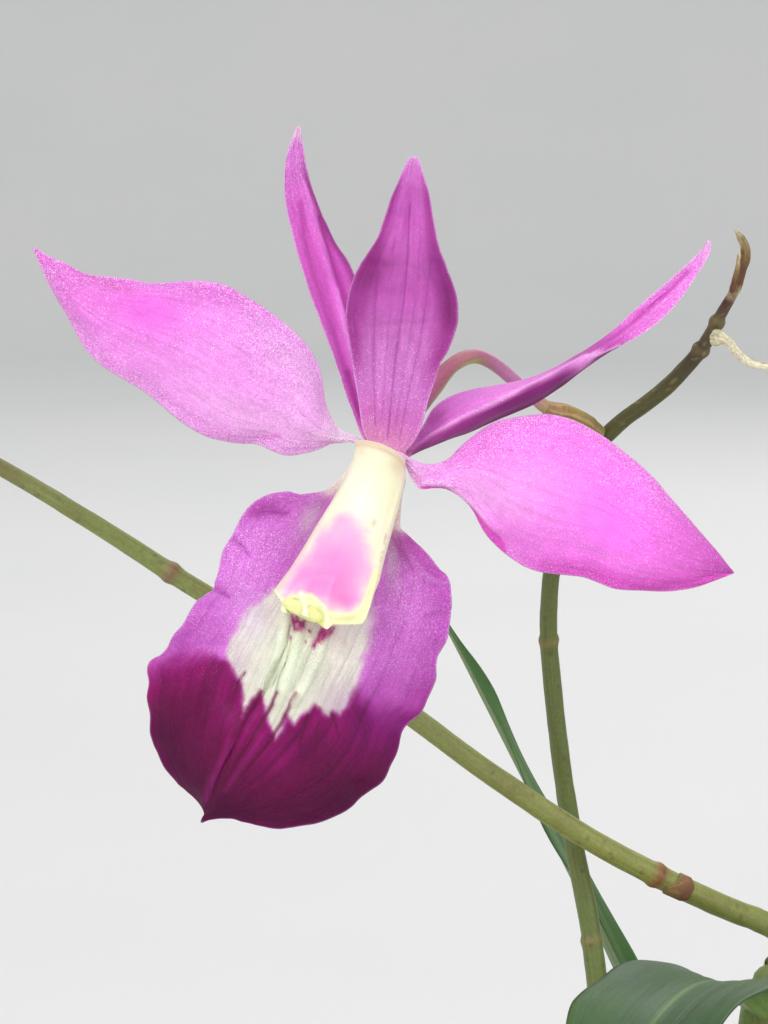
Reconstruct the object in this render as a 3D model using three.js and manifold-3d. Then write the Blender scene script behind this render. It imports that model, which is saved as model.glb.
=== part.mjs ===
// A potted barkeria orchid in flower: a clay pot of bark, a clump of reed-like canes with leaves and white roots,
// one flower stem with an open flower near its withered end, and a second stem with buds.
// Millimetres, +Z up. The origin is the centre of the pot's flat underside. The open flower looks towards -Y.
import * as THREE from "three";
import { mergeVertices } from "three/addons/utils/BufferGeometryUtils.js";
import Module from "manifold-3d";

const wasm = await Module();
wasm.setup();

// ---- driving dimensions (mm) ----
const POT_HEIGHT = 78;
const POT_RIM_R = 53;
const POT_RIM_BAND = 17;
const POT_BODY_R = 49.5;
const POT_BASE_R = 36;
const POT_WALL = 5;
const POT_FLOOR = 6;
const DRAIN_R = 5;
const DRAIN_AT = 21;
const BARK_TOP = 66.5;
const FLOWER = new THREE.Vector3(-12, -22, 262); // where the petals meet
const UNIT = 0.095; // one unit of the flower outlines below
const SIGHT = 300; // the outlines are drawn as seen from this far in front of the flower
const PITCH = (8 * Math.PI) / 180; // and from this far above level

// ---- outlines are (across, down, depth): a point is where that line of sight reaches that depth behind the flower's centre ----
const fwd = new THREE.Vector3(0, Math.cos(PITCH), -Math.sin(PITCH));
const up = new THREE.Vector3(0, Math.sin(PITCH), Math.cos(PITCH));
const right = new THREE.Vector3(1, 0, 0);
const eye = FLOWER.clone().addScaledVector(fwd, -SIGHT).addScaledVector(right, -UNIT).addScaledVector(up, -67 * UNIT);
function at(px, py, d) {
  const k = (UNIT * (SIGHT + d)) / SIGHT;
  return eye.clone().addScaledVector(fwd, SIGHT + d).addScaledVector(right, (px - 384) * k).addScaledVector(up, (512 - py) * k);
}
// a value from [[u, value], ...], smooth between the keys
function key(keys, u) {
  if (u <= keys[0][0]) return keys[0][1];
  for (let i = 1; i < keys.length; i++)
    if (u <= keys[i][0]) {
      const t = (u - keys[i - 1][0]) / (keys[i][0] - keys[i - 1][0]);
      const s = t * t * (3 - 2 * t);
      return keys[i - 1][1] + (keys[i][1] - keys[i - 1][1]) * (0.5 * s + 0.5 * t);
    }
  return keys[keys.length - 1][1];
}
const flat = (list) => new THREE.SplineCurve(list.map((p) => new THREE.Vector2(p[0], p[1])));

// ---- solids ----
// a thin closed sheet over surface(u, v), thick(u, v) through
function sheet(surface, thick, nu, nv) {
  const g = new THREE.BoxGeometry(1, 1, 1, nu, nv, 1);
  const p = g.attributes.position;
  const e = 1e-3;
  for (let i = 0; i < p.count; i++) {
    const u = p.getX(i) + 0.5, v = p.getY(i) + 0.5, side = p.getZ(i) > 0 ? 0.5 : -0.5;
    const c = surface(u, v);
    const du = surface(Math.min(1, u + e), v).sub(surface(Math.max(0, u - e), v));
    const dv = surface(u, Math.min(1, v + e)).sub(surface(u, Math.max(0, v - e)));
    const n = du.cross(dv).normalize();
    c.addScaledVector(n, side * thick(u, v));
    p.setXYZ(i, c.x, c.y, c.z);
  }
  return g;
}
// a closed tube along points with a radius that follows keys; squash flattens it along flatDir
function tube(points, radius, nu, nr, tension = 0.5) {
  const curve = new THREE.CatmullRomCurve3(points, false, "catmullrom", tension);
  const frames = curve.computeFrenetFrames(nu, false);
  const g = new THREE.CylinderGeometry(1, 1, 1, nr, nu, false);
  const p = g.attributes.position;
  for (let i = 0; i < p.count; i++) {
    const u = p.getY(i) + 0.5;
    const k = Math.round(u * nu);
    const r = key(radius, u);
    const c = curve.getPointAt(Math.min(1, Math.max(0, u)));
    c.addScaledVector(frames.binormals[k], p.getX(i) * r).addScaledVector(frames.normals[k], p.getZ(i) * r);
    p.setXYZ(i, c.x, c.y, c.z);
  }
  return g;
}
function solid(geometry) {
  const g = geometry.clone();
  g.deleteAttribute("normal");
  g.deleteAttribute("uv");
  const m = mergeVertices(g, 1e-3);
  return new wasm.Manifold(new wasm.Mesh({ numProp: 3, vertProperties: new Float32Array(m.attributes.position.array), triVerts: new Uint32Array(m.index.array) }));
}
function geometryOf(manifold) {
  const m = manifold.getMesh();
  const g = new THREE.BufferGeometry();
  const v = new Float32Array(m.numVert * 3);
  for (let i = 0; i < m.numVert; i++) v.set(m.vertProperties.subarray(i * m.numProp, i * m.numProp + 3), i * 3);
  g.setAttribute("position", new THREE.BufferAttribute(v, 3));
  g.setIndex(new THREE.BufferAttribute(new Uint32Array(m.triVerts), 1));
  g.computeVertexNormals();
  return g;
}
const cut = (geometry, ...tools) => geometryOf(tools.reduce((s, t) => s.subtract(solid(t)), solid(geometry)));

// ---- scene graph ----
const plant = new THREE.Group();
const materials = {
  clay: new THREE.MeshStandardMaterial({ color: 0xb5653f, roughness: 0.9, metalness: 0 }),
  bark: new THREE.MeshStandardMaterial({ color: 0x6b4128, roughness: 0.95, metalness: 0 }),
  cane: new THREE.MeshStandardMaterial({ color: 0x7f8a4c, roughness: 0.6, metalness: 0 }),
  husk: new THREE.MeshStandardMaterial({ color: 0xc9b98c, roughness: 0.85, metalness: 0 }),
  root: new THREE.MeshStandardMaterial({ color: 0xcfcdbb, roughness: 0.8, metalness: 0 }),
  leaf: new THREE.MeshStandardMaterial({ color: 0x3f6b2c, roughness: 0.5, metalness: 0 }),
  stem: new THREE.MeshStandardMaterial({ color: 0x6c6a33, roughness: 0.55, metalness: 0 }),
  petal: new THREE.MeshStandardMaterial({ color: 0xe57ee0, roughness: 0.6, metalness: 0 }),
  lip: new THREE.MeshStandardMaterial({ color: 0xa63a96, roughness: 0.6, metalness: 0 }),
  column: new THREE.MeshStandardMaterial({ color: 0xfaf3d2, roughness: 0.5, metalness: 0 }),
  bud: new THREE.MeshStandardMaterial({ color: 0xb970a5, roughness: 0.55, metalness: 0 }),
};
function add(name, geometry, material, parent = plant) {
  const mesh = new THREE.Mesh(geometry, materials[material]);
  mesh.name = name;
  parent.add(mesh);
  return mesh;
}
const v3 = (x, y, z) => new THREE.Vector3(x, y, z);

// ================= pot and bark =================
const potGroup = new THREE.Group();
plant.add(potGroup);
const bodyTopZ = POT_HEIGHT - POT_RIM_BAND;
const innerTop = POT_RIM_R - POT_WALL;
const innerBase = POT_BASE_R - POT_WALL;
const innerR = (z) => innerBase + ((innerTop - innerBase) * (z - POT_FLOOR)) / (POT_HEIGHT - POT_FLOOR);
const lathe = (profile, seg) => {
  const g = new THREE.LatheGeometry(profile.map(([r, z]) => new THREE.Vector2(r, z)), seg);
  g.rotateX(Math.PI / 2);
  return g;
};
{
  const profile = [
    [0, 0], [POT_BASE_R - 1, 0], [POT_BASE_R, 1], [POT_BODY_R, bodyTopZ], [POT_RIM_R - 0.8, bodyTopZ + 1.6],
    [POT_RIM_R, bodyTopZ + 3], [POT_RIM_R, POT_HEIGHT - 2.4], [POT_RIM_R - 1.6, POT_HEIGHT - 0.4], [POT_RIM_R - 2.5, POT_HEIGHT],
    [innerTop + 0.9, POT_HEIGHT - 0.7], [innerTop, POT_HEIGHT - 2], [innerBase, POT_FLOOR], [0, POT_FLOOR],
  ];
  let g = lathe(profile, 40);
  const holes = [];
  for (let i = 0; i < 4; i++) {
    const a = Math.PI / 4 + (i * Math.PI) / 2;
    const h = new THREE.CylinderGeometry(DRAIN_R, DRAIN_R, POT_FLOOR + 8, 14);
    h.rotateX(Math.PI / 2);
    h.translate(DRAIN_AT * Math.cos(a), DRAIN_AT * Math.sin(a), POT_FLOOR / 2);
    holes.push(h);
  }
  add("pot", cut(g, ...holes), "clay", potGroup);
}
{
  const seg = 32;
  const profile = [[0, POT_FLOOR + 0.4], [innerR(POT_FLOOR + 0.4) - 1.2, POT_FLOOR + 0.4], [innerR(22) - 0.8, 22], [innerR(45) - 0.8, 45],
    [innerR(62) - 0.9, 62], [innerR(64.5) - 2.2, 64.5], [36, BARK_TOP - 0.4], [27, BARK_TOP + 0.2], [18, BARK_TOP + 0.4], [9, BARK_TOP + 0.5], [0, BARK_TOP + 0.4]];
  const g = lathe(profile, seg);
  const p = g.attributes.position;
  for (let i = 0; i < p.count; i++) {
    const x = p.getX(i), y = p.getY(i), z = p.getZ(i);
    if (z > 63 && Math.hypot(x, y) > 2) {
      const a = Math.atan2(y, x), r = Math.hypot(x, y);
      p.setZ(i, z - 0.9 - 0.9 * Math.sin(3 * a + r * 0.3) * Math.cos(5 * a - r * 0.21));
    }
  }
  add("bark_mix", g, "bark", potGroup);
}

// ================= rhizome, canes, roots =================
const clump = new THREE.Group();
plant.add(clump);
const RZ = 69.9;
const rhizomePath = [v3(-37, -4, RZ - 0.4), v3(-30, 0, RZ), v3(-16, 7, RZ), v3(-6, 5, RZ), v3(5, 2, RZ), v3(13, 7, RZ), v3(21, 10, RZ), v3(28, 2, RZ), v3(33, -9, RZ)];
add("rhizome", tube(rhizomePath, [[0, 1.6], [0.06, 2.5], [0.5, 2.7], [0.94, 2.4], [1, 1.7]], 24, 8), "cane", clump);

const CANES = {
  cane_1: { path: [v3(4.5, 2, 73.1), v3(6, 3, 90), v3(8.5, 5, 120), v3(11, 7, 145), v3(12, 8, 163)], r: [[0, 2.3], [0.12, 3.6], [0.35, 4.7], [0.7, 4.2], [1, 2.7]] },
  cane_2: { path: [v3(20.5, 10.5, 73.1), v3(22, 12, 95), v3(25.8, 15, 140), v3(29.2, 18, 176), v3(31.4, 19.6, 197)], r: [[0, 2.4], [0.1, 3.8], [0.3, 5], [0.7, 4.4], [1, 2.7]] },
  cane_3: { path: [v3(-15.5, 7.2, 73.1), v3(-18, 9.5, 90), v3(-23, 14, 112), v3(-29, 18, 136)], r: [[0, 2.3], [0.15, 3.7], [0.4, 4.3], [0.8, 3.4], [1, 1.6]] },
  cane_4: { path: [v3(-30, 0, 73.1), v3(-33, -1, 86), v3(-37, -4, 103), v3(-39, -8, 118)], r: [[0, 2.2], [0.2, 3.5], [0.5, 3.8], [0.85, 2.8], [1, 1.3]] },
  new_shoot: { path: [v3(32.5, -8.3, 73.1), v3(34.5, -11, 83), v3(37, -14.5, 97), v3(39, -17, 109)], r: [[0, 2.2], [0.15, 3.2], [0.5, 3.5], [0.85, 2.6], [1, 1.5]] },
};
for (const [name, c] of Object.entries(CANES)) add(name, tube(c.path, c.r, 10, 8), "cane", clump);

// a root's path is in cylinder coordinates: radius from the pot's axis, angle, height
const polar = (r, deg, z) => v3(r * Math.cos((deg * Math.PI) / 180), r * Math.sin((deg * Math.PI) / 180), z);
const ROOTS = {
  root_1: { path: [v3(3, -2.2, 69), v3(-1, -12, 69.2), polar(25, 250, 69), polar(38, 246, 68.6), polar(44.2, 250, 74.5), polar(49, 251, 80.2), polar(54.9, 252, 78.6), polar(55.2, 254, 66), polar(52.9, 257, 56), polar(50, 259, 44), polar(46.8, 258, 30)], r: [[0, 1.2], [0.06, 1.6], [0.9, 1.5], [1, 0.7]] },
  root_2: { path: [v3(24.8, -0.8, 69), v3(28, -12, 69), polar(38, 331, 68.6), polar(44.2, 334, 74.5), polar(49, 336, 80.1), polar(54.8, 338, 78.2), polar(55, 340, 66), polar(52.5, 343, 55), polar(50.4, 344, 46)], r: [[0, 1.1], [0.06, 1.4], [0.9, 1.3], [1, 0.6]] },
  root_3: { path: [v3(-20, 1.1, 69), v3(-22, -8, 68.8), v3(-17, -18, 68.7), v3(-20, -28, 68.5), v3(-28, -32, 68.3)], r: [[0, 1.1], [0.08, 1.5], [0.85, 1.4], [1, 0.7]] },
  root_4: { path: [v3(-9, 9.6, 69), v3(-8, 19, 68.8), v3(-14, 28, 68.6), v3(-12, 38, 68.1)], r: [[0, 1], [0.1, 1.4], [0.85, 1.3], [1, 0.7]] },
  root_5: { path: [v3(12, 1.3, 69), v3(15, -10, 68.8), v3(10, -22, 68.6), v3(15, -34, 68.3)], r: [[0, 1.1], [0.08, 1.5], [0.85, 1.4], [1, 0.7]] },
  root_6: { path: [v3(24.5, 12.5, 69), v3(28, 22, 68.8), v3(22, 31, 68.5), polar(43, 48, 69.4), polar(47.5, 44, 80.1), polar(53, 42, 80.6), polar(55.3, 41, 72), polar(52.8, 40, 57)], r: [[0, 1.1], [0.08, 1.35], [0.88, 1.2], [1, 0.6]] },
};
for (const [name, c] of Object.entries(ROOTS)) add(name, tube(c.path, c.r, name === "root_1" || name === "root_2" || name === "root_6" ? 26 : 12, 6), "root", clump);

// ================= leaves =================
// a leaf leaves the cane at a height share of it, in direction azimuth (0 = +X, 90 = +Y), and arches over
function leafSurface(base, azimuth, rise, length, width, droop, twist) {
  const a = (azimuth * Math.PI) / 180, e = (rise * Math.PI) / 180;
  const out = v3(Math.cos(a), Math.sin(a), 0);
  const side = v3(-Math.sin(a), Math.cos(a), 0);
  const mid = (u) => {
    const th = e - ((droop * Math.PI) / 180) * u; // direction turns down along the leaf
    const n = 12;
    let x = 0, z = 0;
    for (let i = 0; i < n; i++) {
      const t = e - ((droop * Math.PI) / 180) * ((u * (i + 0.5)) / n);
      x += (Math.cos(t) * length * u) / n;
      z += (Math.sin(t) * length * u) / n;
    }
    return { x, z, th };
  };
  return (u, v) => {
    const m = mid(u);
    const s = 2 * v - 1;
    const w = width * 0.5 * key(LEAF_WIDTH, u);
    const tw = ((twist * Math.PI) / 180) * u;
    const fold = 0.30 * (1 - u * 0.55);
    const nx = -Math.sin(m.th), nz = Math.cos(m.th);
    const sa = (Math.sqrt(s * s + 0.02) - Math.sqrt(0.02)) / (Math.sqrt(1.02) - Math.sqrt(0.02));
    const lift = w * fold * sa;
    const across = s * w;
    const c = Math.cos(tw), sn = Math.sin(tw);
    const acr = across * c - lift * sn, lf = across * sn + lift * c;
    return base.clone().addScaledVector(out, m.x + nx * lf).addScaledVector(v3(0, 0, 1), m.z + nz * lf).addScaledVector(side, acr);
  };
}
const LEAF_WIDTH = [[0, 0.3], [0.08, 0.46], [0.22, 0.8], [0.42, 1], [0.62, 0.93], [0.8, 0.62], [0.92, 0.27], [1, 0.04]];
// cane, share of its height, azimuth, rise, length, width, droop, twist
const LEAVES = {
  cane_1_leaf_1: ["cane_1", 0.45, 205, 42, 74, 17, 62, 6],
  cane_1_leaf_2: ["cane_1", 0.6, 322, 46, 62, 16, 70, -8],
  cane_1_leaf_3: ["cane_1", 0.76, 212, 50, 84, 19, 58, 8],
  cane_1_leaf_4: ["cane_1", 0.9, 290, 50, 56, 15, 74, -6],
  cane_2_leaf_1: ["cane_2", 0.4, 352, 44, 78, 18, 66, 6],
  cane_2_leaf_2: ["cane_2", 0.54, 158, 44, 84, 19, 64, -6],
  cane_2_leaf_3: ["cane_2", 0.68, 345, 48, 84, 20, 60, 8],
  cane_2_leaf_4: ["cane_2", 0.83, 174, 66, 72, 10.5, 4, 0],
  cane_2_leaf_5: ["cane_2", 0.93, 48, 64, 70, 18, 45, 10],
  cane_2_leaf_6: ["cane_2", 0.975, 245, 40, 62, 17, 84, 0],
  new_shoot_leaf_1: ["new_shoot", 0.5, 300, 56, 42, 12, 50, 4],
  new_shoot_leaf_2: ["new_shoot", 0.92, 120, 66, 38, 11, 38, -4],
};
for (const [name, [cane, share, az, rise, len, wid, droop, twist]] of Object.entries(LEAVES)) {
  const c = CANES[cane];
  const curve = new THREE.CatmullRomCurve3(c.path, false, "catmullrom", 0.5);
  const base = curve.getPointAt(share);
  const r = key(c.r, share) + 1.35;
  const a = (az * Math.PI) / 180;
  base.add(v3(Math.cos(a) * r, Math.sin(a) * r, 0));
  const f = leafSurface(base, az, rise, len, wid, droop, twist);
  add(name, sheet(f, (u, v) => 1.1 - 0.5 * u, 10, 4), "leaf", clump);
}

// ================= flower stems =================
const stems = new THREE.Group();
plant.add(stems);
const stemPath = [v3(12.1, 8.1, 163.8), v3(12.2, 8.3, 175), v3(11.7, 9, 190), at(592, 940, 40.5), at(575, 850, 40.5), at(563, 775, 39.3), at(554, 700, 37), at(549, 640, 34.3),
  at(550, 590, 31.6), at(557, 543, 29), at(573, 490, 26.8), at(597, 447, 25.5), at(622, 421.3, 23.5), at(648, 402.2, 21.3), at(666, 387.5, 19.8), at(685, 368.5, 18), at(701, 349.5, 16.3), at(711, 334, 15), at(719, 318, 14), at(726.5, 305, 13.2), at(733.5, 292.5, 12.6)];
add("flower_stem", tube(stemPath, [[0, 1.5], [0.1, 1.25], [0.55, 0.98], [0.75, 0.86], [0.9, 0.82], [0.95, 0.72], [1, 0.48]], 38, 8), "stem", stems);
const budStemPath = [v3(31.6, 19.9, 197.8), v3(32, 19.5, 202.2), at(758, 920, 45.5), at(738, 912.5, 44), at(705, 898.5, 41.5), at(655, 874.5, 38.2), at(580, 833.5, 34.5), at(480, 766.5, 31), at(400, 708, 29.3), at(300, 649, 28),
  at(200, 591, 27), at(100, 527, 26), at(0, 467, 25), at(-80, 428, 24), at(-150, 408, 23), at(-190, 402, 22)];
add("bud_stem", tube(budStemPath, [[0, 1.5], [0.08, 1.3], [0.6, 1.05], [0.9, 0.8], [1, 0.45]], 34, 8), "stem", stems);

// papery sheaths round the stems: a short flaring sleeve, open along its length
function sleeve(path, from, to, r0, r1, wall, seg) {
  const curve = new THREE.CatmullRomCurve3(path, false, "catmullrom", 0.5);
  const a = curve.getPointAt(from), b = curve.getPointAt(to);
  const len = a.distanceTo(b);
  const g = new THREE.LatheGeometry([[r0, 0], [r0 + wall, 0], [r1 + wall, len], [r1, len], [r0, 0]].map(([x, y]) => new THREE.Vector2(x, y)), seg);
  const dir = b.clone().sub(a).normalize();
  g.applyQuaternion(new THREE.Quaternion().setFromUnitVectors(v3(0, 1, 0), dir));
  g.translate(a.x, a.y, a.z);
  return g;
}
add("stem_sheath_1", sleeve(stemPath, 0.02, 0.075, 1.95, 2.35, 0.4, 8), "husk", stems);
add("stem_sheath_2", sleeve(stemPath, 0.205, 0.245, 1.55, 1.8, 0.35, 8), "husk", stems);
add("bud_stem_sheath_1", sleeve(budStemPath, 0.004, 0.026, 2.0, 2.2, 0.35, 8), "husk", stems);
add("bud_stem_sheath_2", sleeve(budStemPath, 0.166, 0.196, 1.6, 1.8, 0.3, 8), "husk", stems);

// withered end of the flower stem
add("withered_tip_1", tube([at(737.5, 284.5, 12.4), at(741.5, 272, 12), at(744.6, 261.4, 11.5), at(745.2, 251, 11), at(741.8, 239.5, 10.5), at(735, 229.8, 10)], [[0, 0.44], [0.4, 0.34], [1, 0.13]], 9, 6), "husk", stems);
add("withered_tip_2", tube([at(733, 287, 11.3), at(736, 275, 10.7), at(738, 264.5, 10.2), at(738.6, 254, 9.9)], [[0, 0.3], [0.5, 0.24], [1, 0.12]], 5, 6), "husk", stems);
add("spent_flower_stalk", tube([at(716.5, 338, 13.3), at(721, 338.3, 12.4), at(728, 341.4, 11.6), at(736.5, 352, 11), at(746.7, 361, 10.6), at(758.5, 365.5, 10.3), at(770, 366.5, 10.2), at(786, 365.5, 10.4), at(800, 362, 10.8)], [[0, 0.45], [0.05, 0.75], [0.13, 0.72], [0.2, 0.36], [0.7, 0.32], [1, 0.2]], 20, 6), "husk", stems);

// buds on the second stem
function bud(points, stalk, length, width) {
  const a = points[points.length - 2], b = points[points.length - 1];
  const dir = b.clone().sub(a).normalize();
  const tip = b.clone().addScaledVector(dir, length);
  const all = [...points, b.clone().addScaledVector(dir, length * 0.5), tip];
  const curve = new THREE.CatmullRomCurve3(all, false, "catmullrom", 0.5);
  const total = curve.getLength();
  const s = 1 - length / total;
  return tube(all, [[0, stalk], [s - 0.03, stalk * 0.95], [s + 0.06, width * 0.62], [s + (1 - s) * 0.4, width], [s + (1 - s) * 0.75, width * 0.62], [1, 0.25]], 16, 8);
}
add("bud_1", bud([at(-28, 436, 23.2), at(-40, 418, 20), at(-62, 396, 14.5), at(-78, 392, 8)], 0.62, 12, 2.7), "bud", stems);
add("bud_2", bud([at(-104, 434, 22.8), at(-112, 452, 20.5), at(-130, 474, 17), at(-150, 482, 11.5)], 0.6, 10.5, 2.4), "bud", stems);
add("bud_3", bud([at(-142, 391, 21.6), at(-150, 374, 19), at(-168, 356, 15.5), at(-184, 352, 10.5)], 0.55, 9, 2.0), "bud", stems);
add("bud_4", bud([at(-197, 400, 21.4), at(-207, 396, 20.4), at(-222, 390, 18)], 0.5, 6.5, 1.5), "bud", stems);

// ================= the open flower =================
const flower = new THREE.Group();
plant.add(flower);

// each part: left and right edges from base to tip, the crease between them, and the depth of each
const TEPALS = {
  left_petal: {
    left: [[350.5, 440.5], [342, 443], [331.6, 444.4], [318.9, 449], [303.6, 452], [285.7, 453.3], [273, 450], [257.7, 444.6], [239.8, 444.6], [224.5, 442.3], [206.6, 436.2], [188.8, 425.3], [168.4, 411.2], [148, 397.2], [127.6, 382.7], [107.1, 367.9], [89.3, 351.3], [74, 332.1], [61.2, 311.7], [49.7, 288.8], [39.5, 265.8], [32.4, 248.5]],
    right: [[351.5, 432.5], [345, 430.5], [338.3, 427.2], [332.5, 417.6], [327.8, 403.6], [325.3, 385.7], [320.2, 367.9], [311.2, 352.6], [298.5, 336], [283.2, 319.9], [265.3, 305.4], [244.9, 294.4], [224.5, 286.2], [204.1, 281.6], [183.7, 279.1], [163.3, 279.1], [142.9, 280.6], [122.4, 281.6], [102, 279.8], [84.2, 274.7], [63.8, 263.3], [48.5, 255.7], [34.5, 246.8]],
    dL: [[0, 0.9], [0.15, 0.6], [0.4, -0.4], [0.7, -0.2], [1, 1.5]], dM: [[0, 0.8], [0.2, -1.6], [0.45, -3.2], [0.75, -2.0], [1, 1.5]], dR: [[0, 0.9], [0.15, 0.8], [0.4, -0.6], [0.7, 0.4], [1, 1.5]], soft: 0.6,
  },
  right_petal: {
    left: [[406.5, 456.5], [414.8, 461], [427, 463.6], [438.9, 463.4], [452.3, 458.5], [465.7, 444.5], [479.1, 430.8], [492.5, 421.4], [508.6, 416.8], [530, 414.8], [551.4, 415.6], [572.9, 421], [594.3, 430.4], [613, 441], [631.8, 455.8], [647.9, 473.2], [664, 492], [680, 508], [696, 524], [709.5, 540.2], [722.9, 556.3], [733.4, 571.5]],
    right: [[405.5, 463.5], [412, 478.6], [420.2, 488.6], [433.6, 488.4], [447, 490.7], [460.4, 497.3], [471, 508], [481.8, 524], [492.5, 540.2], [503.2, 553.6], [519.3, 566], [535.4, 572.3], [551.4, 573.9], [567.5, 573.9], [583.6, 575.4], [599.7, 581.7], [615.7, 588.6], [637.2, 592.7], [658.6, 593.2], [680, 590.6], [701.4, 585.8], [722.9, 577.7], [734, 573.4]],
    dL: [[0, 0.9], [0.15, 1.2], [0.4, -0.2], [0.7, 0.2], [1, 1.8]], dM: [[0, 0.8], [0.2, -1.2], [0.45, -3.4], [0.75, -2.4], [1, 1.8]], dR: [[0, 0.9], [0.15, -0.4], [0.3, 1.6], [0.5, 0.2], [0.7, -0.4], [1, 1.8]], soft: 0.6,
  },
  dorsal_sepal: {
    left: [[365.5, 436], [361.5, 424], [358.2, 401], [353.1, 370.4], [349.3, 342.3], [345.5, 316.8], [348, 293.9], [354.4, 276], [364.6, 258.2], [377.3, 237.8], [385, 217.3], [391.4, 196.9], [399, 179], [406.7, 161.2], [411.3, 156]],
    right: [[407, 451], [415.6, 439.3], [423.3, 421.4], [428.4, 401], [436, 378], [441, 362.8], [447.5, 352.6], [453.9, 337.2], [457.7, 321.9], [457.7, 304], [453.9, 286.2], [446.2, 265.8], [438.6, 242.9], [433.5, 219.9], [429.6, 196.9], [424.5, 179], [419.4, 161.2], [414.7, 156]],
    dL: [[0, 1.7], [0.25, -0.6], [0.5, -4.6], [0.75, -10.5], [1, -17]], dM: [[0, 1.2], [0.25, -0.4], [0.5, -3.2], [0.75, -9.4], [1, -17]], dR: [[0, 1.6], [0.25, -0.8], [0.5, -4.8], [0.75, -10.6], [1, -17]], soft: 0.7,
  },
  left_lateral_sepal: {
    left: [[359.5, 433], [353.1, 413.8], [344.2, 388.3], [334, 357.7], [323.8, 332], [313.6, 304], [303.4, 273.5], [294.4, 242.9], [288, 217.3], [285, 197], [284.7, 174], [288, 151], [294.4, 132], [297.6, 126.4]],
    right: [[369.5, 431], [372, 410], [372, 385], [371, 355], [368, 325], [363, 297], [354.4, 273.5], [346.7, 258.2], [336.5, 242.9], [326.8, 222.4], [321.2, 209.7], [312.3, 186.7], [306, 161.2], [302, 138.3], [300.2, 126.4]],
    mid: [[364, 432], [360, 412], [354, 385], [346, 352], [339, 325], [330, 296], [320.5, 268], [311.5, 242], [303.5, 217], [297, 193], [293.5, 172], [294, 150], [297.5, 134], [299, 126]],
    dL: [[0, 3.6], [0.25, 3.0], [0.5, 3.4], [0.75, 5.2], [1, 8]], dM: [[0, 3.9], [0.25, 5.2], [0.5, 6.6], [0.75, 7.4], [1, 8]], dR: [[0, 3.8], [0.25, 8], [0.5, 10.4], [0.75, 9.6], [1, 8.2]], soft: 0.25,
  },
  right_lateral_sepal: {
    left: [[411.5, 444], [416.5, 435], [424.4, 423.5], [431.5, 410.5], [440, 402.2], [455, 394.2], [473.8, 388.9], [495.2, 384.8], [522, 379.5], [546, 371.4], [567.5, 360.7], [588.9, 347.3], [610.4, 331.3], [631.8, 312.5], [653.2, 293.8], [672, 277.7], [688, 262.9], [701.4, 249.6], [707.6, 239.4]],
    right: [[416.5, 452.5], [428.2, 447.8], [447, 439.8], [468.4, 433], [492.5, 422.3], [513.9, 413], [535.4, 403.6], [556.8, 390.2], [578.2, 374], [599, 359.5], [621, 345.6], [642.5, 334], [664, 317.9], [682.7, 296.4], [693.4, 280.4], [704, 264.3], [710.8, 250.9], [710.6, 240.6]],
    mid: [[415.5, 450], [433.6, 438.6], [455, 425], [481.8, 409.6], [508.6, 397.4], [530, 388.5], [554, 376], [572.9, 366.5], [598, 351.5], [621, 335], [644, 316.5], [664, 299], [683, 281], [697, 264], [709, 240]],
    dL: [[0, 3.8], [0.25, 8.2], [0.5, 7.6], [0.75, 4.6], [1, 5]], dM: [[0, 3.6], [0.25, 2.6], [0.5, 3.2], [0.75, 4.9], [1, 5]], dR: [[0, 3.9], [0.25, 5.2], [0.5, 5.0], [0.75, 3.8], [1, 5]], soft: 0.2,
  },
  lip: {
    left: [[354.5, 452], [351, 461], [344.3, 472.9], [335, 482], [322.9, 490.2], [301.4, 493.8], [285.4, 492], [272, 491.6], [258.6, 498.3], [245.2, 510.4], [237.2, 523.8], [229, 539.8], [221, 558.6], [217, 574.7], [211, 585], [203.7, 590.4], [197, 597], [193, 609.5], [184.9, 622.9], [172.9, 637.6], [159.5, 652.3], [150, 661.7], [148.2, 671], [149.5, 683], [147.4, 697], [148.2, 714], [150, 732.7], [155.5, 748.8], [164.8, 767.5], [178.2, 783.6], [191.6, 795.6], [200.2, 806], [202.3, 814], [200.2, 822]],
    right: [[405.5, 466], [405.5, 481], [402.5, 495], [401, 510.4], [400.8, 527], [408, 535], [419.3, 545.2], [432.7, 558.6], [440.7, 570.6], [449.5, 580.5], [451.4, 596], [450, 617.5], [446, 641.6], [438, 665.7], [432.7, 684.5], [422, 706], [411.3, 724.7], [400.6, 743.4], [391.2, 764.9], [379, 783.6], [363, 799.7], [344.3, 811.7], [322.9, 821], [301.4, 826.5], [277.3, 828.6], [258.6, 826.5], [242.5, 821.6], [226.4, 818.4], [210.4, 820], [202.4, 823]],
    mid: [[380, 457], [362, 502], [340, 556], [318, 602], [303, 630], [288, 662], [273, 698], [256, 730], [238, 762], [220, 793], [201.3, 822.6]],
    dL: [[0, 3.4], [0.1, 0.2], [0.17, -1.4], [0.25, -1.6], [0.4, -2.2], [0.5, -3.2], [0.6, -2.6], [0.75, -1.2], [0.9, -2.2], [1, -3.6]], dM: [[0, 3.4], [0.15, 1.4], [0.3, -1.6], [0.42, -4.6], [0.5, -6.2], [0.62, -7.0], [0.75, -6.8], [0.9, -5.2], [1, -3.6]], dR: [[0, 3.4], [0.1, 0.8], [0.18, -0.6], [0.3, 0.8], [0.42, 0.8], [0.52, 0.6], [0.62, -0.2], [0.75, -1.6], [0.9, -2.8], [1, -3.6]], soft: 0.5,
  },
};
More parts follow.
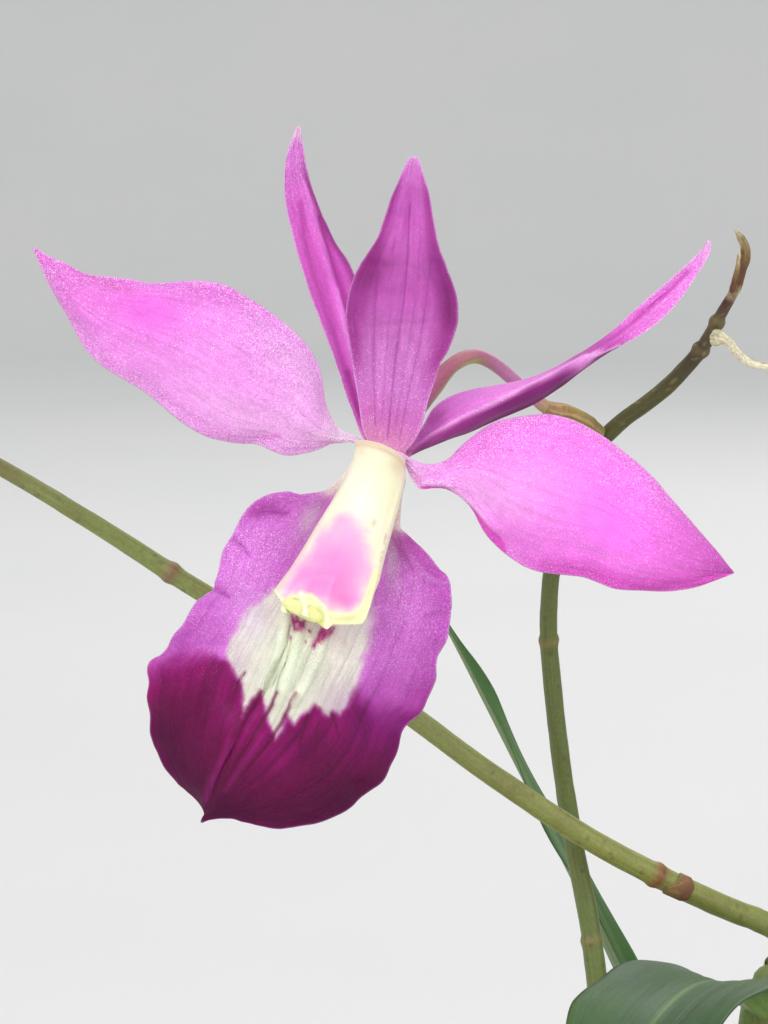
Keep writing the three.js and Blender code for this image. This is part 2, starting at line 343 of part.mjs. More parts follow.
function tepalSurface(t) {
  const L = flat(t.left), R = flat(t.right), M = t.mid ? flat(t.mid) : null;
  const e = t.soft;
  return (u, v) => {
    const l = L.getPointAt(u), r = R.getPointAt(u);
    const m = M ? M.getPointAt(u) : l.clone().add(r).multiplyScalar(0.5);
    const s = 2 * v - 1;
    const sa = (Math.sqrt(s * s + e * e) - e) / (Math.sqrt(1 + e * e) - e);
    const wl = (sa - s) / 2, wr = (sa + s) / 2, wm = 1 - wl - wr;
    return at(m.x * wm + l.x * wl + r.x * wr, m.y * wm + l.y * wl + r.y * wr, key(t.dM, u) * wm + key(t.dL, u) * wl + key(t.dR, u) * wr);
  };
}
const DETAIL = { lip: [20, 10], left_petal: [14, 6], right_petal: [14, 6], dorsal_sepal: [12, 6], left_lateral_sepal: [12, 6], right_lateral_sepal: [14, 6] };
for (const [name, t] of Object.entries(TEPALS)) {
  const [nu, nv] = DETAIL[name];
  add(name, sheet(tepalSurface(t), (u, v) => (0.8 - 0.25 * Math.abs(2 * v - 1)) * (1 - 0.3 * u), nu, nv), name === "lip" ? "lip" : "petal", flower);
}

// column: a flattened, winged body that widens to its end, with the anther cap set in the end
const COLUMN = [ // left x, y, right x, y, depth of its middle, half thickness
  [356, 444, 405.5, 460, -0.9, 1.5], [352.5, 460, 405.6, 476, -1.5, 1.6], [344, 480, 402.5, 492, -2.4, 1.6], [331, 502, 397.5, 512, -3.6, 1.6], [316, 526, 391, 536, -4.9, 1.6],
  [303, 548, 385, 558, -6.1, 1.5], [289, 570, 379.5, 581, -7.3, 1.35], [276.5, 590, 372, 606, -8.4, 1.15], [276, 601, 366, 618, -8.9, 0.8],
];
function columnPoint(u, x, z) {
  const f = u * (COLUMN.length - 1), i = Math.min(COLUMN.length - 2, Math.floor(f)), t = f - i;
  const c = COLUMN[i].map((a, k) => a + (COLUMN[i + 1][k] - a) * t);
  const s = x; // -1 left .. 1 right
  const px = (c[0] + c[2]) / 2 + ((c[2] - c[0]) / 2) * s, py = (c[1] + c[3]) / 2 + ((c[3] - c[1]) / 2) * s;
  return at(px, py, c[4] + z * c[5] + 0.5 * s * s);
}
{
  const nr = 14, nu = 12;
  const g = new THREE.CylinderGeometry(1, 1, 1, nr, nu, false);
  const p = g.attributes.position;
  for (let i = 0; i < p.count; i++) {
    const u = 0.5 - p.getY(i);
    const q = columnPoint(u, p.getX(i), -p.getZ(i));
    p.setXYZ(i, q.x, q.y, q.z);
  }
  // a sphere-like cap, widest across the column's end
  const capAt = at(309, 611, -9.3), capR = [2.35, 1.15, 1.0];
  const cap = (grow) => {
    const s = new THREE.SphereGeometry(1, 12, 8);
    s.scale(capR[0] + grow, capR[1] + grow, capR[2] + grow);
    s.rotateY(0.28);
    s.translate(capAt.x, capAt.y, capAt.z);
    return s;
  };
  add("column", cut(g, cap(0.35)), "column", flower);
  add("anther_cap", cap(0), "column", flower);
}

// ovary and its stalk, arching back from the flower to the stem, and the small bract where it starts
const stalkPath = [at(391, 444, 6.4), at(406, 424, 8), at(421.8, 401.4, 9.5), at(434.5, 385.3, 10.8), at(448.4, 368.6, 12.2), at(461, 359.8, 13.4), at(474.3, 356.1, 14.8), at(487, 360, 16.1), at(499.7, 368.2, 17.3), at(514, 380.5, 18.6), at(529, 394, 19.8), at(542, 404.5, 20.8)];
add("ovary_stalk", tube(stalkPath, [[0, 1.25], [0.14, 0.98], [0.36, 0.9], [0.5, 0.74], [0.75, 0.69], [1, 0.56]], 22, 8), "stem", flower);
add("flower_bract", tube([at(546.5, 407.8, 21.4), at(556, 411, 22.1), at(569, 413.5, 22.8), at(584, 421, 23.4), at(593, 427.5, 23.6)], [[0, 0.72], [0.25, 0.85], [0.7, 0.8], [1, 0.6]], 7, 8), "husk", flower);

export default plant;
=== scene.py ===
import math
import bpy
import numpy as np
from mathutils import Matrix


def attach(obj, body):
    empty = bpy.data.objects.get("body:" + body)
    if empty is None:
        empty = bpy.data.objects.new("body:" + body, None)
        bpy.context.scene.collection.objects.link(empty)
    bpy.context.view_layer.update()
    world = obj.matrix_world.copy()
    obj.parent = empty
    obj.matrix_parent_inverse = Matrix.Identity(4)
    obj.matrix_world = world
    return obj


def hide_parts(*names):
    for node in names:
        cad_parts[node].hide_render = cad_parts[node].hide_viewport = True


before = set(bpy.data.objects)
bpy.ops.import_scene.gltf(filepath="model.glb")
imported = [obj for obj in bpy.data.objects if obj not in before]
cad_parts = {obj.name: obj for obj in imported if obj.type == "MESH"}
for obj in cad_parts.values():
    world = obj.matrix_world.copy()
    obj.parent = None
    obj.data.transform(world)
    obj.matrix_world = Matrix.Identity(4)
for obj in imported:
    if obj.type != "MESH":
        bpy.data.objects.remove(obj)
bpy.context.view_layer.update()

# ------------------------------------------------------------------ frame of the flower's outlines (mm)
FLOWER = np.array([-12.0, -22.0, 262.0])
UNIT = 0.095
SIGHT = 300.0
PITCH = math.radians(8)
FWD = np.array([0.0, math.cos(PITCH), -math.sin(PITCH)])
UP = np.array([0.0, math.sin(PITCH), math.cos(PITCH)])
RIGHT = np.array([1.0, 0.0, 0.0])
EYE = FLOWER - SIGHT * FWD - UNIT * RIGHT - 67 * UNIT * UP


def at(px, py, d):
    """(across, down, depth) to a point: where that line of sight reaches that depth behind the flower's centre."""
    px, py, d = np.broadcast_arrays(np.asarray(px, float), np.asarray(py, float), np.asarray(d, float))
    k = UNIT * (SIGHT + d) / SIGHT
    return EYE + (SIGHT + d)[..., None] * FWD + ((px - 384) * k)[..., None] * RIGHT + ((512 - py) * k)[..., None] * UP


# ------------------------------------------------------------------ small maths
def smooth(a, b, x):
    t = np.clip((np.asarray(x, float) - a) / (b - a), 0, 1)
    return t * t * (3 - 2 * t)


def key(keys, u):
    """Value at u from [[u, value], ...], smooth between the keys."""
    k = np.asarray(keys, float)
    u = np.asarray(u, float)
    i = np.clip(np.searchsorted(k[:, 0], u, side="left"), 1, len(k) - 1)
    t = np.clip((u - k[i - 1, 0]) / (k[i, 0] - k[i - 1, 0]), 0, 1)
    s = 0.5 * t * t * (3 - 2 * t) + 0.5 * t
    return k[i - 1, 1] + (k[i, 1] - k[i - 1, 1]) * s


def unit(v):
    return v / np.maximum(np.linalg.norm(v, axis=-1, keepdims=True), 1e-12)


def _rand(x, y, z, seed):
    h = (x & 0xFFFFFFFF).astype(np.uint64) * np.uint64(374761393)
    h = h + (y & 0xFFFFFFFF).astype(np.uint64) * np.uint64(668265263)
    h = h + (z & 0xFFFFFFFF).astype(np.uint64) * np.uint64(2246822519)
    h = (h + np.uint64((seed * 3266489917 + 12345) & 0xFFFFFFFF)) & np.uint64(0xFFFFFFFF)
    h ^= h >> np.uint64(15)
    h = (h * np.uint64(2246822519)) & np.uint64(0xFFFFFFFF)
    h ^= h >> np.uint64(13)
    h = (h * np.uint64(3266489917)) & np.uint64(0xFFFFFFFF)
    h ^= h >> np.uint64(16)
    return h.astype(float) / 4294967295.0


def noise(p, seed=0):
    """Smooth value noise, about -1 to 1, at points p (..., 3)."""
    p = np.asarray(p, float)
    i = np.floor(p).astype(np.int64)
    f = p - i
    f = f * f * f * (f * (f * 6 - 15) + 10)
    out = 0
    for dx in (0, 1):
        wx = f[..., 0] if dx else 1 - f[..., 0]
        for dy in (0, 1):
            wy = f[..., 1] if dy else 1 - f[..., 1]
            for dz in (0, 1):
                wz = f[..., 2] if dz else 1 - f[..., 2]
                out = out + wx * wy * wz * _rand(i[..., 0] + dx, i[..., 1] + dy, i[..., 2] + dz, seed)
    return 2 * out - 1


def fbm(p, seed=0, octaves=3):
    p = np.asarray(p, float)
    out, a = 0, 0.5
    for k in range(octaves):
        out = out + a * noise(p * 2.03**k, seed + 17 * k)
        a *= 0.5
    return out


def noise2(x, y, seed=0, z=0.0):
    x, y, z = np.broadcast_arrays(np.asarray(x, float), np.asarray(y, float), np.asarray(z, float))
    return noise(np.stack([x, y, z], -1), seed)


def C(h):
    """'rrggbb' to three values from 0 to 1, as on screen."""
    return np.array([int(h[i : i + 2], 16) / 255 for i in (0, 2, 4)])


def mix(a, b, t):
    t = np.clip(np.asarray(t, float), 0, 1)[..., None]
    return a * (1 - t) + b * t


def linear(c):
    c = np.clip(c, 0, 1)
    return np.where(c <= 0.04045, c / 12.92, ((c + 0.055) / 1.055) ** 2.4)


def hexlin(h, alpha=1.0):
    return (*[float(v) for v in linear(C(h))], alpha)


def blob(x, y, cx, cy, rx, ry, deg=0):
    a = math.radians(deg)
    dx, dy = x - cx, y - cy
    u, v = dx * math.cos(a) + dy * math.sin(a), -dx * math.sin(a) + dy * math.cos(a)
    return np.exp(-((u / rx) ** 2) - (v / ry) ** 2)


def to_line(x, y, pts):
    """Distance from (x, y) to a polyline, and how far along it the nearest point is, 0 to 1."""
    pts = np.asarray(pts, float)
    seg = np.linalg.norm(np.diff(pts, axis=0), axis=1)
    total, run = seg.sum(), 0.0
    best = np.full(np.shape(x), 1e9)
    along = np.zeros(np.shape(x))
    for a, b, n in zip(pts[:-1], pts[1:], seg):
        t = np.clip(((x - a[0]) * (b[0] - a[0]) + (y - a[1]) * (b[1] - a[1])) / max(n * n, 1e-9), 0, 1)
        d = np.hypot(x - a[0] - t * (b[0] - a[0]), y - a[1] - t * (b[1] - a[1]))
        near = d < best
        best = np.where(near, d, best)
        along = np.where(near, (run + t * n) / total, along)
        run += n
    return best, along


def stroke(x, y, pts, width, taper=0.0):
    """A soft line along pts: 1 on it, fading over width; taper thins it towards its far end."""
    d, t = to_line(x, y, pts)
    w = width * (1 - taper * t)
    return np.exp(-((d / w) ** 2)) * (1 - smooth(0.92, 1.0, t) * (taper > 0))


def signed(x, y, poly):
    """Distance to a closed outline, positive inside it."""
    poly = np.asarray(poly, float)
    d, _ = to_line(x, y, np.vstack([poly, poly[:1]]))
    inside = np.zeros(np.shape(x), bool)
    for (x0, y0), (x1, y1) in zip(poly, np.roll(poly, -1, axis=0)):
        cross = (y0 > y) != (y1 > y)
        with np.errstate(divide="ignore", invalid="ignore"):
            xi = x0 + (y - y0) * (x1 - x0) / (y1 - y0 if y1 != y0 else 1e-9)
        inside ^= cross & (x < xi)
    return np.where(inside, d, -d)


# ------------------------------------------------------------------ curves
def _catmull(P, ends, per=48):
    P = np.asarray(P, float)
    if ends == "copy":
        Q = np.vstack([P[:1], P, P[-1:]])
    else:
        Q = np.vstack([2 * P[:1] - P[1:2], P, 2 * P[-1:] - P[-2:-1]])
    t = np.linspace(0, 1, per, endpoint=False)[:, None]
    out = []
    for i in range(len(P) - 1):
        p0, p1, p2, p3 = Q[i], Q[i + 1], Q[i + 2], Q[i + 3]
        v0, v1 = (p2 - p0) * 0.5, (p3 - p1) * 0.5
        out.append((2 * p1 - 2 * p2 + v0 + v1) * t**3 + (-3 * p1 + 3 * p2 - 2 * v0 - v1) * t**2 + v0 * t + p1)
    out.append(P[-1:])
    out = np.vstack(out)
    run = np.concatenate([[0], np.cumsum(np.linalg.norm(np.diff(out, axis=0), axis=1))])
    return out, run


class Curve:
    """A smooth curve through points, read by its share of length."""

    def __init__(self, pts, ends="reach"):
        self.pts, self.run = _catmull(pts, ends)
        self.length = self.run[-1]

    def __call__(self, u):
        u = np.clip(np.asarray(u, float), 0, 1) * self.length
        return np.stack([np.interp(u, self.run, self.pts[:, k]) for k in range(self.pts.shape[1])], -1)

    def frames(self, u):
        """Position, tangent and two cross directions that don't spin, at each of u (rising)."""
        e = 1e-3
        c = self(u)
        tan = unit(self(np.minimum(1, u + e)) - self(np.maximum(0, u - e)))
        n = np.zeros_like(c)
        ref = np.array([0.0, 1.0, 0.0]) if abs(tan[0][1]) < 0.9 else np.array([1.0, 0.0, 0.0])
        prev = unit(np.cross(np.cross(tan[0], ref), tan[0]))
        for i in range(len(c)):
            prev = unit(prev - tan[i] * np.dot(prev, tan[i]))
            n[i] = prev
        return c, tan, n, np.cross(tan, n)


# ------------------------------------------------------------------ meshes
def make(name, co, faces, mat, slot, nodes=(), smooth_shade=True, **attrs):
    """A mesh object from points in mm, faces as arrays of quads and triangles, and per-point attributes."""
    me = bpy.data.meshes.new(name)
    co = np.asarray(co, np.float32) * 0.001
    faces = [np.asarray(f, np.int32) for f in (faces if isinstance(faces, (list, tuple)) else [faces]) if len(f)]
    idx = np.concatenate([f.ravel() for f in faces])
    sizes = np.concatenate([np.full(len(f), f.shape[1], np.int32) for f in faces])
    starts = np.concatenate([[0], np.cumsum(sizes)[:-1]]).astype(np.int32)
    me.vertices.add(len(co))
    me.vertices.foreach_set("co", co.ravel())
    me.loops.add(len(idx))
    me.loops.foreach_set("vertex_index", idx)
    me.polygons.add(len(sizes))
    me.polygons.foreach_set("loop_start", starts)
    me.update(calc_edges=True)
    me.polygons.foreach_set("use_smooth", np.full(len(sizes), smooth_shade, bool))
    for k, v in attrs.items():
        v = np.asarray(v, np.float32)
        if v.ndim == 1:
            me.attributes.new(k, "FLOAT", "POINT").data.foreach_set("value", v)
        elif k == "flow":
            me.attributes.new(k, "FLOAT_VECTOR", "POINT").data.foreach_set("vector", v.ravel())
        else:
            rgba = np.concatenate([linear(v), np.ones((len(v), 1))], 1).astype(np.float32)
            me.attributes.new(k, "FLOAT_COLOR", "POINT").data.foreach_set("color", rgba.ravel())
    me.validate()
    me.update()
    ob = bpy.data.objects.new(name, me)
    bpy.context.scene.collection.objects.link(ob)
    me.materials.append(mat)
    if slot:
        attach(ob, "root")
    if nodes:
        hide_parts(*nodes)
    return ob


def quads(index, flip=False):
    a, b, c, d = index[:-1, :-1], index[1:, :-1], index[1:, 1:], index[:-1, 1:]
    q = np.stack([a, d, c, b] if flip else [a, b, c, d], -1).reshape(-1, 4)
    return q


class Parts:
    """Several closed pieces gathered into one mesh."""

    def __init__(self):
        self.co, self.faces, self.attrs, self.n = [], [], [], 0

    def add(self, co, faces, **attrs):
        self.co.append(co)
        self.faces += [np.asarray(f) + self.n for f in (faces if isinstance(faces, list) else [faces]) if len(f)]
        self.attrs.append(attrs)
        self.n += len(co)

    def make(self, name, mat, slot, nodes=(), **kw):
        keys = self.attrs[0].keys()
        merged = {k: np.concatenate([np.asarray(a[k], float) for a in self.attrs]) for k in keys}
        four = [f for f in self.faces if f.shape[1] == 4]
        three = [f for f in self.faces if f.shape[1] == 3]
        faces = ([np.concatenate(four)] if four else []) + ([np.concatenate(three)] if three else [])
        return make(name, np.concatenate(self.co), faces, mat, slot, nodes, **kw, **merged)


def closed_sheet(mid, thick, towards=None, flow=None, paint=None, extra=None):
    """A closed leaf-like solid round the grid mid (nu, nv, 3), thick (nu, nv) through, joined at its rim.
    paint(side) gives the colours of the front (1) and of the back (-1)."""
    nu, nv = mid.shape[:2]
    du, dv = np.gradient(mid, axis=0), np.gradient(mid, axis=1)
    n = unit(np.cross(du, dv))
    # where the grid narrows to a point the cross product is poor: borrow the neighbour row's
    n[0], n[-1] = n[1], n[-2]
    if towards is not None and np.sum(n * (towards - mid)) < 0:
        n, flip = -n, True
    else:
        flip = False
    front, back = mid + n * thick[..., None] / 2, mid - n * thick[..., None] / 2
    rim = np.zeros((nu, nv), bool)
    rim[0], rim[-1], rim[:, 0], rim[:, -1] = True, True, True, True
    front[rim] = mid[rim]
    fi = np.arange(nu * nv).reshape(nu, nv)
    bi = fi.copy()
    bi[~rim] = nu * nv + np.arange((~rim).sum())
    co = np.concatenate([front.reshape(-1, 3), back[~rim]])
    faces = np.concatenate([quads(fi, flip), quads(bi, not flip)])

    def both(a, b):
        return np.concatenate([a.reshape(nu * nv, *a.shape[2:]), b[~rim]])

    out = {}
    if paint is not None:
        out["paint"] = both(paint(1), paint(-1))
    if flow is not None:
        out["flow"] = both(flow, flow)
    for k, v in (extra or {}).items():
        out[k] = both(v, v)
    return co, faces, out


def tube_mesh(curve, radius, nu, nr, relief=None, u=None, round_ends=(True, True), squash=None, spin=0.0):
    """A closed tube along curve. radius is keys or an array; relief(U, A, L) adds mm along the radius.
    Returns points, faces, and per-point (share of length, angle)."""
    if u is None:
        u = np.linspace(0, 1, nu + 1)
    c, tan, n, b = curve.frames(u)
    r = key(radius, u) if not isinstance(radius, np.ndarray) else radius
    a = np.linspace(0, 2 * np.pi, nr, endpoint=False)
    U, A = np.meshgrid(u, a, indexing="ij")
    R = np.repeat(r[:, None], nr, 1)
    if relief is not None:
        R = R + relief(U, A, U * curve.length)
    sa, sb = (1.0, 1.0) if squash is None else squash
    co = c[:, None] + (np.cos(A + spin) * R * sa)[..., None] * n[:, None] + (np.sin(A + spin) * R * sb)[..., None] * b[:, None]
    rows, uu, aa = [co], [U], [A]
    caps = []
    for end in (0, 1):
        k = 0 if end == 0 else -1
        out = -tan[0] if end == 0 else tan[-1]
        if round_ends[end]:
            for f in (0.35, 0.65, 0.88):
                ring = c[k] + (co[k] - c[k]) * math.sqrt(1 - f * f) + out * r[k] * f * 0.8
                caps.append((end, ring, f))
    start = [x for x in caps if x[0] == 0][::-1]
    stop = [x for x in caps if x[0] == 1]
    rows = np.concatenate([np.array([x[1] for x in start]).reshape(-1, nr, 3), co, np.array([x[1] for x in stop]).reshape(-1, nr, 3)])
    uu = np.concatenate([np.zeros((len(start), nr)), U, np.ones((len(stop), nr))])
    aa = np.repeat(a[None], len(rows), 0)
    m = len(rows)
    idx = np.arange(m * nr).reshape(m, nr)
    loop = np.concatenate([idx, idx[:, :1]], 1)
    q = quads(loop, True)
    p0 = c[0] - tan[0] * r[0] * (0.8 if round_ends[0] else 0)
    p1 = c[-1] + tan[-1] * r[-1] * (0.8 if round_ends[1] else 0)
    n0, n1 = m * nr, m * nr + 1
    t0 = np.stack([np.full(nr, n0), loop[0, 1:], loop[0, :-1]], -1)
    t1 = np.stack([np.full(nr, n1), loop[-1, :-1], loop[-1, 1:]], -1)
    pts = np.concatenate([rows.reshape(-1, 3), p0[None], p1[None]])
    U2 = np.concatenate([uu.ravel(), [0, 1]])
    A2 = np.concatenate([aa.ravel(), [0, 0]])
    return pts, [q, t0, t1], U2, A2


# ------------------------------------------------------------------ materials
class Mat:
    """Short calls for building one node material."""

    def __init__(self, name, **fixed):
        self.mat = bpy.data.materials.new(name)
        self.mat.use_nodes = True
        self.nt = self.mat.node_tree
        self.nt.nodes.clear()
        out = self.nt.nodes.new("ShaderNodeOutputMaterial")
        self.bsdf = self.nt.nodes.new("ShaderNodeBsdfPrincipled")
        self.nt.links.new(self.bsdf.outputs[0], out.inputs["Surface"])
        for k, v in fixed.items():
            self.bsdf.inputs[k.replace("_", " ")].default_value = v
        self.obj = self.nt.nodes.new("ShaderNodeTexCoord").outputs["Object"]

    def node(self, kind, ins=(), **props):
        n = self.nt.nodes.new(kind)
        for k, v in props.items():
            setattr(n, k, v)
        for k, v in dict(ins).items():
            s = n.inputs[k]
            if isinstance(v, bpy.types.NodeSocket):
                self.nt.links.new(v, s)
            else:
                s.default_value = v
        return n

    def attr(self, name, out="Color"):
        return self.node("ShaderNodeAttribute", attribute_name=name).outputs[out]

    def scale(self, vec, xyz):
        return self.node("ShaderNodeVectorMath", {0: vec, 1: xyz}, operation="MULTIPLY").outputs[0]

    def noise(self, vec, scale, detail=2.0, rough=0.5, distort=0.0):
        return self.node("ShaderNodeTexNoise", {"Vector": vec, "Scale": scale, "Detail": detail, "Roughness": rough, "Distortion": distort}).outputs["Fac"]

    def voronoi(self, vec, scale, feature="F1"):
        return self.node("ShaderNodeTexVoronoi", {"Vector": vec, "Scale": scale}, feature=feature)

    def math(self, op, a, b=0.0, clamp=False):
        return self.node("ShaderNodeMath", {0: a, 1: b}, operation=op, use_clamp=clamp).outputs[0]

    def map(self, v, a, b, c=0.0, d=1.0, kind="SMOOTHSTEP"):
        return self.node("ShaderNodeMapRange", {"Value": v, "From Min": a, "From Max": b, "To Min": c, "To Max": d}, interpolation_type=kind).outputs[0]

    def mix(self, f, a, b, blend="MIX"):
        return self.node("ShaderNodeMix", {0: f, 6: a, 7: b}, data_type="RGBA", blend_type=blend).outputs[2]

    def times(self, col, f):
        """A colour darkened or lightened by a number."""
        return self.node("ShaderNodeVectorMath", {0: col, "Scale": f}, operation="SCALE").outputs[0]

    def bump(self, height, strength, distance, normal=None):
        ins = {"Height": height, "Strength": strength, "Distance": distance}
        if normal is not None:
            ins["Normal"] = normal
        return self.node("ShaderNodeBump", ins).outputs[0]

    def done(self, colour, rough=None, normal=None):
        self.nt.links.new(colour, self.bsdf.inputs["Base Color"])
        if rough is not None:
            self.nt.links.new(rough, self.bsdf.inputs["Roughness"])
        if normal is not None:
            self.nt.links.new(normal, self.bsdf.inputs["Normal"])
        return self.mat


def petal_material(name, glitter=1.0, vein=1.0, gloss=0.28):
    """Thin petal: painted colour, fine lengthwise streaks, salt-and-pepper cell grain whose pale grains are painted
    sparkle, and tiny white glints painted as highlights.
    """
    m = Mat(name, Subsurface_Weight=0.14, Subsurface_Radius=(1.0, 0.45, 0.9), Subsurface_Scale=0.0008, Specular_IOR_Level=gloss)
    flow, frost = m.attr("flow", "Vector"), m.attr("frost", "Fac")
    streak = m.noise(m.scale(flow, (0.22, 2.6, 1.0)), 1.0, 3.0, 0.6)
    fine = m.noise(m.scale(flow, (0.9, 7.0, 1.0)), 1.0, 2.0, 0.6)
    cell = m.noise(m.obj, 8200.0, 1.5, 0.6)
    clump = m.noise(m.obj, 1500.0, 2.0, 0.6)
    patch = m.noise(m.obj, 700.0, 2.0, 0.5)
    want = m.map(frost, 0.0, 1.0, 0.14, 1.0, "LINEAR")
    col = m.times(m.attr("paint"), m.map(streak, 0.3, 0.7, 1 - 0.07 * vein, 1 + 0.05 * vein))
    col = m.times(col, m.map(fine, 0.3, 0.7, 1 - 0.04 * vein, 1 + 0.03 * vein))
    deep = m.mix(1.0, col, (0.72, 0.36, 0.70, 1), "MULTIPLY")
    col = m.mix(m.math("MULTIPLY", m.map(cell, 0.52, 0.32, 0.0, 0.85), want), col, deep)
    col = m.times(col, m.map(patch, 0.35, 0.65, 0.96, 1.04))
    # the pale cell grain below is painted sparkle, weaker on dark paint; the dark grain is the petal's own
    pale = m.map(m.node("ShaderNodeSeparateColor", {0: m.attr("paint")}).outputs[1], 0.02, 0.22, 0.10, 1.0, "LINEAR")
    lively = m.math("MULTIPLY", m.math("MULTIPLY", want, pale), m.map(clump, 0.32, 0.62, 0.55, 1.15, "LINEAR"))
    col = m.mix(m.math("MULTIPLY", m.map(cell, 0.50, 0.70, 0.0, 0.50 * glitter), lively), col, hexlin("fce3fc"))
    # painted glints: one small white highlight dot in some of the cells
    vor = m.voronoi(m.obj, 5200.0)
    pick = m.node("ShaderNodeSeparateColor", {0: vor.outputs["Color"]}).outputs[0]
    gate = m.map(m.math("ADD", pick, m.map(frost, 0.0, 1.0, -0.36, 0.22, "LINEAR")), 0.58, 0.80)
    dot = m.map(vor.outputs["Distance"], 0.44, 0.12)
    glint = m.math("MULTIPLY", m.math("MULTIPLY", m.math("MULTIPLY", gate, dot), pale), 0.72 * glitter)
    col = m.mix(glint, col, hexlin("fff2ff"))
    rough = m.map(m.math("ADD", cell, glint), 0.3, 1.2, 0.56, 0.34)
    height = m.math("ADD", m.math("MULTIPLY", cell, 0.7), m.math("MULTIPLY", streak, 0.6))
    return m.done(col, rough, m.bump(height, 0.5, 0.00006))


def painted(name, grain=0.12, scale=900.0, bump_mm=0.05, bump_scale=1500.0, rough=(0.45, 0.65), streaks=None, tint="7a6248", tint_amount=0.15, spots=0.0, spot_scale=700.0, spot_colour="3a2a18", **fixed):
    """Painted colour with two sizes of noise, optional lengthwise streaks and specks, and a bump to match."""
    m = Mat(name, **fixed)
    col = m.attr("paint")
    big = m.noise(m.obj, scale * 0.25, 3.0, 0.6)
    small = m.noise(m.obj, scale * 2.4, 3.0, 0.62)
    col = m.mix(m.map(big, 0.42, 0.7, 0.0, tint_amount), col, hexlin(tint))
    col = m.times(col, m.map(small, 0.28, 0.72, 1 - grain, 1 + grain * 0.8))
    height = m.noise(m.obj, bump_scale, 4.0, 0.6)
    if streaks:
        st = m.noise(m.scale(m.attr("flow", "Vector"), streaks), 1.0, 4.0, 0.62)
        col = m.times(col, m.map(st, 0.3, 0.7, 1 - grain * 1.2, 1 + grain * 0.8))
        height = m.math("ADD", m.math("MULTIPLY", height, 0.4), st)
    if spots:
        vor = m.voronoi(m.obj, spot_scale)
        pick = m.node("ShaderNodeSeparateColor", {0: vor.outputs["Color"]}).outputs[1]
        f = m.math("MULTIPLY", m.map(vor.outputs["Distance"], 0.34, 0.16), m.map(pick, 0.60, 0.75))
        col = m.mix(m.math("MULTIPLY", f, spots), col, hexlin(spot_colour))
    r = m.map(small, 0.25, 0.75, rough[0], rough[1])
    return m.done(col, r, m.bump(height, 0.6, bump_mm * 0.001))


def clay_material():
    m = Mat("terracotta", Specular_IOR_Level=0.25)
    tall = m.node("ShaderNodeSeparateXYZ", {0: m.obj}).outputs[2]
    big = m.noise(m.obj, 28.0, 5.0, 0.6)
    mid = m.noise(m.obj, 160.0, 4.0, 0.65)
    fine = m.noise(m.obj, 1900.0, 3.0, 0.6)
    rings = m.noise(m.scale(m.obj, (6.0, 6.0, 420.0)), 1.0, 3.0, 0.6)
    col = m.mix(m.map(big, 0.35, 0.68), hexlin("b06543"), hexlin("c98360"))
    col = m.mix(m.map(mid, 0.46, 0.72, 0.0, 0.55), col, hexlin("a35a3a"))
    col = m.times(col, m.map(rings, 0.3, 0.7, 0.94, 1.05))
    col = m.times(col, m.map(fine, 0.3, 0.7, 0.88, 1.08))
    # white bloom of salts, heaviest on the body under the rim
    bloom = m.noise(m.scale(m.obj, (1.0, 1.0, 0.6)), 75.0, 6.0, 0.68)
    where = m.math("MULTIPLY", m.map(tall, 0.012, 0.045), m.map(tall, 0.076, 0.056, 0.35, 1.0))
    col = m.mix(m.math("MULTIPLY", m.map(bloom, 0.50, 0.72, 0.0, 0.62), where), col, hexlin("e6d9c9"))
    # damp foot and a green film
    damp = m.map(m.math("ADD", tall, m.math("MULTIPLY", big, 0.018)), 0.022, 0.008)
    col = m.mix(m.math("MULTIPLY", damp, 0.5), col, hexlin("6f4230"))
    moss = m.noise(m.obj, 120.0, 5.0, 0.7)
    col = m.mix(m.math("MULTIPLY", m.map(moss, 0.58, 0.74, 0.0, 0.5), m.map(tall, 0.064, 0.052)), col, hexlin("707148"))
    pit = m.voronoi(m.obj, 520.0)
    col = m.times(col, m.map(pit.outputs["Distance"], 0.05, 0.22, 0.72, 1.0))
    height = m.math("ADD", m.math("MULTIPLY", fine, 0.35), m.math("ADD", m.math("MULTIPLY", rings, 0.6), m.map(pit.outputs["Distance"], 0.0, 0.25, 0.0, 0.6)))
    return m.done(col, m.map(bloom, 0.4, 0.7, 0.82, 0.95), m.bump(height, 0.7, 0.00022))


def leaf_material():
    m = Mat("orchid_leaf", Specular_IOR_Level=0.36, Subsurface_Weight=0.08, Subsurface_Radius=(0.5, 1.0, 0.2), Subsurface_Scale=0.001, Coat_Weight=0.05, Coat_Roughness=0.35)
    flow = m.attr("flow", "Vector")
    lines = m.noise(m.scale(flow, (0.05, 2.4, 1.0)), 1.0, 3.0, 0.55)
    cell = m.noise(m.obj, 3400.0, 2.0, 0.6)
    big = m.noise(m.obj, 70.0, 4.0, 0.6)
    col = m.times(m.attr("paint"), m.map(lines, 0.3, 0.7, 0.86, 1.12))
    col = m.mix(m.map(big, 0.42, 0.72, 0.0, 0.35), col, hexlin("5f7c35"))
    col = m.times(col, m.map(cell, 0.3, 0.7, 0.92, 1.07))
    vor = m.voronoi(m.obj, 420.0)
    pick = m.node("ShaderNodeSeparateColor", {0: vor.outputs["Color"]}).outputs[0]
    speck = m.math("MULTIPLY", m.map(vor.outputs["Distance"], 0.20, 0.08), m.map(pick, 0.80, 0.86))
    col = m.mix(m.math("MULTIPLY", speck, 0.5), col, hexlin("4a3a1e"))
    height = m.math("ADD", lines, m.math("MULTIPLY", cell, 0.35))
    return m.done(col, m.map(big, 0.3, 0.7, 0.42, 0.54), m.bump(height, 0.45, 0.00012))


